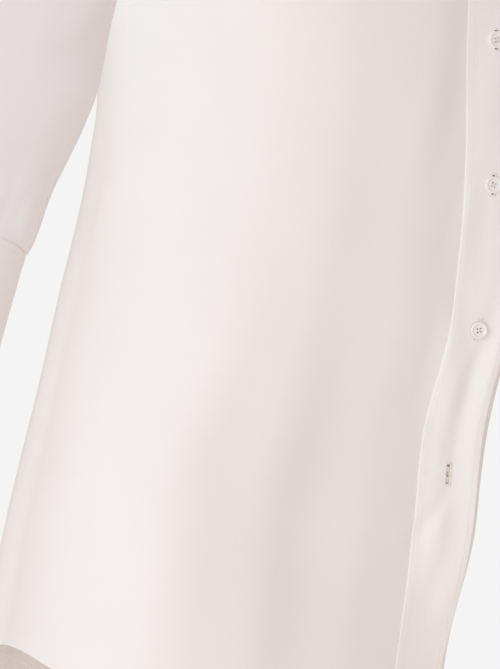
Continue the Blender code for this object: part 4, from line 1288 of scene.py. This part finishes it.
class SHIRT_OT_buttons(bpy.types.Operator):
    """Four-hole buttons with a rim and their crossed threads"""
    bl_idname = "shirt.buttons"
    bl_label = "Buttons"

    def execute(self, context):
        s = settings()
        pattern = self.pattern(s.button_radius)
        bars = []
        for number, (name, seat, out) in enumerate(button_seats()):
            place = place_matrix(seat, out, 0.35 * math.sin(2.3 * number + 0.4))
            mesh = pattern.data.copy()
            mesh.name = name + "_turned"
            obj = bpy.data.objects.new(name + "_turned", mesh)
            context.scene.collection.objects.link(obj)
            mesh.transform(place)
            dress(obj, name, finish("button_plastic"))
            bars.append((place, BUTTON_THICK * 0.78))
        self.sew_on(bars)
        bpy.data.objects.remove(pattern)
        return {"FINISHED"}

    @staticmethod
    def pattern(radius):
        """One button at the origin, its under face on the ground plane."""
        clear_selection()
        bpy.ops.mesh.primitive_cylinder_add(vertices=48, radius=radius, depth=BUTTON_THICK * 0.9,
                                            location=(0.0, 0.0, BUTTON_THICK * 0.48))
        obj = bpy.context.object
        bpy.ops.object.transform_apply(location=True, rotation=True, scale=True)
        bpy.ops.object.mode_set(mode="EDIT")
        bpy.ops.mesh.select_mode(type="FACE")
        bpy.ops.mesh.select_all(action="DESELECT")
        bpy.ops.object.mode_set(mode="OBJECT")
        for face in obj.data.polygons:
            face.select = face.normal.z > 0.9
        bpy.ops.object.mode_set(mode="EDIT")
        bpy.ops.mesh.inset(thickness=radius * 0.20, depth=0.0)
        bpy.ops.mesh.inset(thickness=radius * 0.09, depth=-BUTTON_THICK * 0.20)
        bpy.ops.mesh.inset(thickness=radius * 0.30, depth=-BUTTON_THICK * 0.03)
        bpy.ops.object.mode_set(mode="OBJECT")
        edge = obj.modifiers.new("edge", "BEVEL")
        edge.width = BUTTON_THICK * 0.14
        edge.segments = 3
        edge.limit_method = "ANGLE"
        edge.angle_limit = math.radians(30.0)
        bpy.ops.object.modifier_apply(modifier="edge")
        drills = []
        for x, y in ((1.0, 1.0), (1.0, -1.0), (-1.0, 1.0), (-1.0, -1.0)):
            place = (x * radius * HOLE_PLACE, y * radius * HOLE_PLACE, 0.0)
            bpy.ops.mesh.primitive_cylinder_add(vertices=16, radius=radius * HOLE_RADIUS,
                                                depth=BUTTON_THICK * 3.0, location=place)
            drills.append(bpy.context.object)
        clear_selection()
        for drill in drills:
            drill.select_set(True)
        bpy.context.view_layer.objects.active = drills[0]
        bpy.ops.object.join()
        drill = bpy.context.object
        only(obj)
        holes = obj.modifiers.new("holes", "BOOLEAN")
        holes.operation = "DIFFERENCE"
        holes.solver = "EXACT"
        holes.object = drill
        bpy.ops.object.modifier_apply(modifier="holes")
        bpy.data.objects.remove(drill)
        bpy.ops.object.shade_smooth_by_angle(angle=math.radians(35.0))
        return obj

    @staticmethod
    def sew_on(bars):
        """Two crossed bars of thread through the four holes of every button."""
        r = settings().button_radius * HOLE_PLACE
        starts, ends, ups = [], [], []
        for matrix, top in bars:
            up = (matrix.to_3x3() @ Vector((0.0, 0.0, 1.0))).normalized()
            for i in range(-1, 2):
                shift = i * 0.00022
                for a, b in (((r + shift, r - shift), (-r + shift, -r - shift)),
                             ((r + shift, -r + shift), (-r + shift, r + shift))):
                    starts.append(matrix @ Vector((a[0], a[1], top)))
                    ends.append(matrix @ Vector((b[0], b[1], top)))
                    ups.append(up)
        bars = (np.array(places) for places in (starts, ends, ups))
        lay_stitches("button_threads", *bars, BUTTON_THREAD, "sewing_thread", "button")


def stitch_pattern():
    """One stitch: a slim rounded grain of thread, one unit long and thick, along X."""
    clear_selection()
    bpy.ops.mesh.primitive_uv_sphere_add(segments=6, ring_count=5, radius=0.5)
    obj = bpy.context.object
    bpy.ops.object.mode_set(mode="EDIT")
    bpy.ops.mesh.select_all(action="SELECT")
    bpy.ops.transform.rotate(value=math.pi / 2.0, orient_axis="Y", center_override=(0.0, 0.0, 0.0))
    bpy.ops.object.mode_set(mode="OBJECT")
    verts = np.array([v.co[:] for v in obj.data.vertices])
    faces = [tuple(face.vertices) for face in obj.data.polygons]
    bpy.data.objects.remove(obj)
    return verts, faces


def lay_stitches(name, starts, ends, ups, thick, thread, slot="body_cloth"):
    """Copies of the stitch from start to end, each with its round side up, as one piece."""
    verts, faces = stitch_pattern()
    along = ends - starts
    lengths = np.linalg.norm(along, axis=1)
    x = unit(along)
    y = unit(np.cross(ups, x))
    z = np.cross(x, y)
    middle = (starts + ends) / 2.0
    points = middle[:, None, :] + x[:, None, :] * (verts[None, :, 0:1] * lengths[:, None, None])
    points = points + y[:, None, :] * verts[None, :, 1:2] * thick
    points = points + z[:, None, :] * verts[None, :, 2:3] * thick
    count = len(verts)
    all_faces = [tuple(i + n * count for i in face) for n in range(len(starts)) for face in faces]
    mesh = bpy.data.meshes.new(name)
    mesh.from_pydata(points.reshape(-1, 3).tolist(), [], all_faces)
    obj = bpy.data.objects.new(name, mesh)
    bpy.context.scene.collection.objects.link(obj)
    only(obj)
    bpy.ops.object.shade_smooth()
    dress(obj, None, finish(thread))


def sew(seams, pitch):
    """Starts, ends and upward directions of the stitches along seams of points and normals."""
    starts, ends, ups = [], [], []
    for points, normals in seams:
        lengths = np.concatenate(([0.0], np.cumsum(np.linalg.norm(np.diff(points, axis=0), axis=1))))
        count = max(1, int(lengths[-1] / pitch))
        heads = np.arange(count) * lengths[-1] / count
        for marks, found in ((heads, starts), (heads + pitch * 0.80, ends)):
            found.append(np.stack([np.interp(marks, lengths, points[:, k]) for k in range(3)], axis=-1))
        middle = heads + pitch * 0.40
        ups.append(unit(np.stack([np.interp(middle, lengths, normals[:, k]) for k in range(3)], axis=-1)))
    return np.concatenate(starts), np.concatenate(ends), np.concatenate(ups)


def beside(places, away):
    """Places and heights moved sideways over the cloth by a distance, to the left of the line's run."""
    q, z = places[:, 0], places[:, 1]
    points = form(q, z)
    run = unit(np.gradient(points, axis=0))
    aside = np.cross(facing(q, z), run)
    by_q = (form(q + 0.004, z) - form(q - 0.004, z)) / 0.008
    by_z = (form(q, z + 0.002) - form(q, z - 0.002)) / 0.004
    a = np.sum(by_q * by_q, axis=1)
    b = np.sum(by_q * by_z, axis=1)
    c = np.sum(by_z * by_z, axis=1)
    d, e = np.sum(by_q * aside, axis=1), np.sum(by_z * aside, axis=1)
    det = a * c - b * b
    moved_q = q + away * (c * d - b * e) / det
    moved_z = z + away * (a * e - b * d) / det
    return pair(moved_q, moved_z)


def body_seam(places, lift):
    q, z = places[:, 0], places[:, 1]
    return skin(q, z, lift), facing(q, z)


class SHIRT_OT_topstitching(bpy.types.Operator):
    """Rows of stitches along the bands, hem, seams, collar, sleeves and cuffs"""
    bl_idname = "shirt.topstitching"
    bl_label = "Topstitching"

    def execute(self, context):
        s = settings()
        groups = {
            "band_stitches": self.bands(),
            "hem_stitches": self.hem(),
            "yoke_stitches": self.yoke(),
            "armhole_stitches": self.armholes(),
            "collar_stitches": self.collar(),
            "sleeve_stitches": self.sleeves(),
            "cuff_stitches": self.cuffs(),
        }
        for name, seams in groups.items():
            starts, ends, ups = sew(seams, s.stitch_pitch)
            lay_stitches(name, starts, ends, ups, s.stitch_thick, "sewing_thread")
        return {"FINISHED"}

    @staticmethod
    def bands():
        bottom, top = HEM_SIDE - HEM_FRONT_DROP + 0.001, float(neck_height(3.0)) - 0.001
        z = np.linspace(bottom, top, 500)
        seams = []
        for share in (0.105, 0.895):
            seams.append(body_seam(pair(-3.0 + share + 0.0 * z, z), PLACKET_LIFT + 0.00018))
        for share in (0.13, 0.87):
            seams.append(body_seam(pair(3.0 - share + 0.0 * z, z), 0.00018))
        return seams

    @staticmethod
    def hem():
        seams = []
        shares = np.linspace(0.0, 1.0, 300)
        away = STITCHES_IN["hem"]
        for side in (-1.0, 1.0):
            end = side * float(seam_place(HEM_SIDE))
            line = hem_line(side * 2.0, end, shares, HEM_FRONT_DROP, HEM_FRONT_RUN, False)
            seams.append(body_seam(beside(line, -side * away)[2:-2], 0.00035))
        seam = float(seam_place(HEM_SIDE))
        line = hem_line(seam, -seam, shares, HEM_BACK_DROP, HEM_BACK_RUN, True)
        seams.append(body_seam(beside(line, -away)[2:-2], 0.00035))
        return seams

    @staticmethod
    def yoke():
        shares = np.linspace(0.01, 0.99, 160)
        seams = [body_seam(beside(yoke_back(shares), STITCHES_IN["yoke"]), 0.00035)]
        for side in (-1.0, 1.0):
            line = yoke_front(side, shares)
            seams.append(body_seam(beside(line, side * STITCHES_IN["yoke"]), 0.00035))
        return seams

    @staticmethod
    def armholes():
        seams = []
        degrees = np.linspace(2.0, 358.0, 320)
        for side in (-1.0, 1.0):
            line = arm_loop(side, degrees)
            seams.append(body_seam(beside(line, -side * STITCHES_IN["armhole"]), 0.00018))
        return seams

    @staticmethod
    def collar():
        q, stand = stand_grid(13)
        out = grid_facing(stand)
        leaf = SHIRT_OT_collar.leaf(q, stand, out)
        walls = grid_facing(leaf)
        seams = [(stand[1, 2:-2] + out[1, 2:-2] * 0.0002, out[1, 2:-2]),
                 (stand[-2, 8:-8] + out[-2, 8:-8] * 0.0002, out[-2, 8:-8])]
        row = -4
        left, right, _, _ = edge_lengths(leaf)
        away = STITCHES_IN["collar"]
        inner = (left[row] > away) & (right[row] > away)
        seams.append((leaf[row][inner] + walls[row][inner] * 0.0002, walls[row][inner]))
        for depth in (left, right):
            found = [(j, int(np.argmin(np.abs(depth[j] - away)))) for j in range(6, leaf.shape[0] - 3)]
            points = np.array([leaf[j, i] + walls[j, i] * 0.0002 for j, i in found])
            seams.append((points, np.array([walls[j, i] for j, i in found])))
        return seams

    @staticmethod
    def sleeves():
        seams = []
        whole = CAP_LENGTH + SLEEVE_LENGTH
        down = np.linspace(0.012, whole - 0.002, 260)
        for side in (-1.0, 1.0):
            for away in (0.0012, 0.0058):
                degrees = sleeve_seam(down) + 360.0 * away / 0.40
                seams.append(sleeve_point(side, degrees, down, 0.00050))
            along = CAP_LENGTH + np.linspace(SLIT_START + 0.01, SLIT_END, 80) * SLEEVE_LENGTH
            for turn in (SLIT_FROM + 1.6, SLIT_TO - 1.6):
                seams.append(sleeve_point(side, turn + 0.0 * along, along, BAND_LIFT + 0.0002))
        return seams

    @staticmethod
    def cuffs():
        seams = []
        degrees = np.linspace(CUFF_START + 6.0, CUFF_START + 360.0 + cuff_lap() - 6.0, 300)
        for side in (-1.0, 1.0):
            for down in (STITCHES_IN["cuff"], CUFF_HEIGHT - STITCHES_IN["cuff"]):
                points = cuff_point(side, degrees, down, 0.0002)
                normals = unit(cuff_point(side, degrees, down, 0.01) - points)
                seams.append((points, normals))
            downs = np.linspace(0.005, CUFF_HEIGHT - 0.005, 40)
            turn = CUFF_START + 360.0 + cuff_lap() - 7.0 + 0.0 * downs
            points = cuff_point(side, turn, downs, 0.0002)
            seams.append((points, unit(cuff_point(side, turn, downs, 0.01) - points)))
        return seams


class SHIRT_OT_buttonholes(bpy.types.Operator):
    """Close satin thread round every buttonhole"""
    bl_idname = "shirt.buttonholes"
    bl_label = "Buttonhole Thread"

    def execute(self, context):
        starts, ends, ups = [], [], []
        for z in button_heights():
            half = float(hole_half(np.array(z)))
            rows = np.linspace(-0.5, 0.5, 31) * (HOLE_LENGTH + 0.0006) + z
            for side in (-1.0, 1.0):
                inner = -2.5 + side * (half - 0.0001) / PLACKET_WIDTH + 0.0 * rows
                outer = -2.5 + side * (half + 0.0014) / PLACKET_WIDTH + 0.0 * rows
                starts.append(skin(inner, rows, PLACKET_LIFT + 0.0001))
                ends.append(skin(outer, rows + 0.00012, PLACKET_LIFT + 0.0001))
                ups.append(facing(inner, rows))
            for end in (-1.0, 1.0):
                tack = z + end * (HOLE_LENGTH / 2.0 + np.array([0.0003, 0.0007, 0.0011]))
                a = -2.5 - (half + 0.0014) / PLACKET_WIDTH + 0.0 * tack
                b = -2.5 + (half + 0.0014) / PLACKET_WIDTH + 0.0 * tack
                starts.append(skin(a, tack, PLACKET_LIFT + 0.00015))
                ends.append(skin(b, tack, PLACKET_LIFT + 0.00015))
                ups.append(facing(a, tack))
        bars = (np.concatenate(places) for places in (starts, ends, ups))
        lay_stitches("buttonhole_threads", *bars, HOLE_THREAD, "buttonhole_thread")
        return {"FINISHED"}


class SHIRT_OT_stage(bpy.types.Operator):
    """Pale floor, soft studio light and the camera"""
    bl_idname = "shirt.stage"
    bl_label = "Stage"

    def execute(self, context):
        scene = context.scene
        clear_selection()
        bpy.ops.mesh.primitive_plane_add(size=6.0, location=(0.0, 0.0, FLOOR_LEVEL))
        floor = bpy.context.object
        floor.name = "floor"
        bpy.ops.object.transform_apply(location=True, rotation=True, scale=True)
        paint = bpy.data.materials.new("floor_paint")
        paint.use_nodes = True
        paint.node_tree.nodes["Principled BSDF"].inputs["Base Color"].default_value = (
            *settings().floor_color, 1.0)
        paint.node_tree.nodes["Principled BSDF"].inputs["Roughness"].default_value = 0.9
        floor.data.materials.append(paint)
        self.world(scene)
        made = [obj for obj in scene.objects if obj.name.endswith(MADE)]
        arms = [obj for obj in made if "sleeve" in obj.name or "cuff" in obj.name]
        groups = {
            None: [],
            "arms": arms,
            "trunk": [obj for obj in made if obj not in arms],
            "lowest_button": [obj for obj in made if obj.name.startswith("front_button_0")],
        }
        middle = Vector((0.0, 0.0, SHOT_LEVEL))
        for name, turn, rise, away, lower, size, power, color, lit, shading in LAMPS[1:]:
            angle = math.radians(turn)
            place = middle + Vector((math.sin(angle), -math.cos(angle), rise)) * away
            aim = middle - Vector((0.0, 0.0, lower))
            self.lamp(name, place, aim, size, power, color, groups[lit], groups[shading])
        low = Vector((0.0, BOUNCE_BACK, FLOOR_LEVEL + BOUNCE_RISE))
        aim = Vector((0.0, BOUNCE_BACK, 0.0))
        self.lamp("bounce_light", low, aim, BOUNCE_SIZE, BOUNCE_POWER, BOUNCE_COLOR, [], [])
        self.camera(scene)
        scene.view_settings.view_transform = "Standard"
        scene.view_settings.look = "None"
        return {"FINISHED"}

    @staticmethod
    def world(scene):
        world = bpy.data.worlds.new("studio")
        scene.world = world
        world.use_nodes = True
        nodes, links = world.node_tree.nodes, world.node_tree.links
        shown = nodes["Background"]
        shown.inputs["Color"].default_value = (SHOWN_GREY, SHOWN_GREY, SHOWN_GREY, 1.0)
        room = nodes.new("ShaderNodeBackground")
        room.inputs["Color"].default_value = (*ROOM_COLOR, 1.0)
        path = nodes.new("ShaderNodeLightPath")
        mix = nodes.new("ShaderNodeMixShader")
        links.new(path.outputs["Is Camera Ray"], mix.inputs["Fac"])
        links.new(room.outputs["Background"], mix.inputs[1])
        links.new(shown.outputs["Background"], mix.inputs[2])
        links.new(mix.outputs["Shader"], nodes["World Output"].inputs["Surface"])

    @staticmethod
    def lamp(name, place, target, size, power, color, lit, shading):
        light = bpy.data.lights.new(name, "AREA")
        light.shape = "SQUARE"
        light.size = size
        light.energy = power
        light.color = color
        obj = bpy.data.objects.new(name, light)
        bpy.context.scene.collection.objects.link(obj)
        obj.location = place
        obj.rotation_euler = (place - target).to_track_quat("Z", "Y").to_euler()
        if lit:
            group = bpy.data.collections.new(name + "_lit")
            for piece in lit:
                group.objects.link(piece)
            obj.light_linking.receiver_collection = group
        if shading:
            group = bpy.data.collections.new(name + "_shading")
            for piece in shading:
                group.objects.link(piece)
            obj.light_linking.blocker_collection = group

    @staticmethod
    def camera(scene):
        right = Vector((math.cos(TURN), math.sin(TURN), 0.0))
        back = Vector((math.sin(TURN), -math.cos(TURN), 0.0))
        camera = bpy.data.cameras.new("camera")
        camera.sensor_width = 36.0
        camera.lens = 36.0 * DISTANCE / (SHOT_HEIGHT * METRE_PER_DOT)
        camera.clip_end = 60.0
        obj = bpy.data.objects.new("camera", camera)
        scene.collection.objects.link(obj)
        obj.location = right * SHOT_ACROSS + back * DISTANCE + Vector((0.0, 0.0, SHOT_LEVEL))
        obj.rotation_euler = (math.pi / 2.0, 0.0, TURN)
        scene.camera = obj


class SHIRT_PT_panel(bpy.types.Panel):
    """Steps of the shirt in the order they are made"""
    bl_idname = "SHIRT_PT_panel"
    bl_label = "Poplin Shirt"
    bl_space_type = "VIEW_3D"
    bl_region_type = "UI"
    bl_category = "Shirt"

    def draw(self, context):
        layout = self.layout
        for name in ShirtSettings.__annotations__:
            layout.prop(context.scene.shirt_settings, name)
        for step in STEPS:
            layout.operator(step.bl_idname)


STEPS = (
    SHIRT_OT_fronts,
    SHIRT_OT_back_and_yoke,
    SHIRT_OT_bands,
    SHIRT_OT_collar,
    SHIRT_OT_sleeves,
    SHIRT_OT_cuffs,
    SHIRT_OT_buttons,
    SHIRT_OT_topstitching,
    SHIRT_OT_buttonholes,
    SHIRT_OT_stage,
)


def register():
    bpy.utils.register_class(ShirtSettings)
    for step in STEPS:
        bpy.utils.register_class(step)
    bpy.utils.register_class(SHIRT_PT_panel)
    bpy.types.Scene.shirt_settings = PointerProperty(type=ShirtSettings)


def unregister():
    del bpy.types.Scene.shirt_settings
    bpy.utils.unregister_class(SHIRT_PT_panel)
    for step in reversed(STEPS):
        bpy.utils.unregister_class(step)
    bpy.utils.unregister_class(ShirtSettings)


def main():
    register()
    bpy.ops.shirt.fronts()
    bpy.ops.shirt.back_and_yoke()
    bpy.ops.shirt.bands()
    bpy.ops.shirt.collar()
    bpy.ops.shirt.sleeves()
    bpy.ops.shirt.cuffs()
    bpy.ops.shirt.buttons()
    bpy.ops.shirt.topstitching()
    bpy.ops.shirt.buttonholes()
    bpy.ops.shirt.stage()


if __name__ == "__main__":
    main()
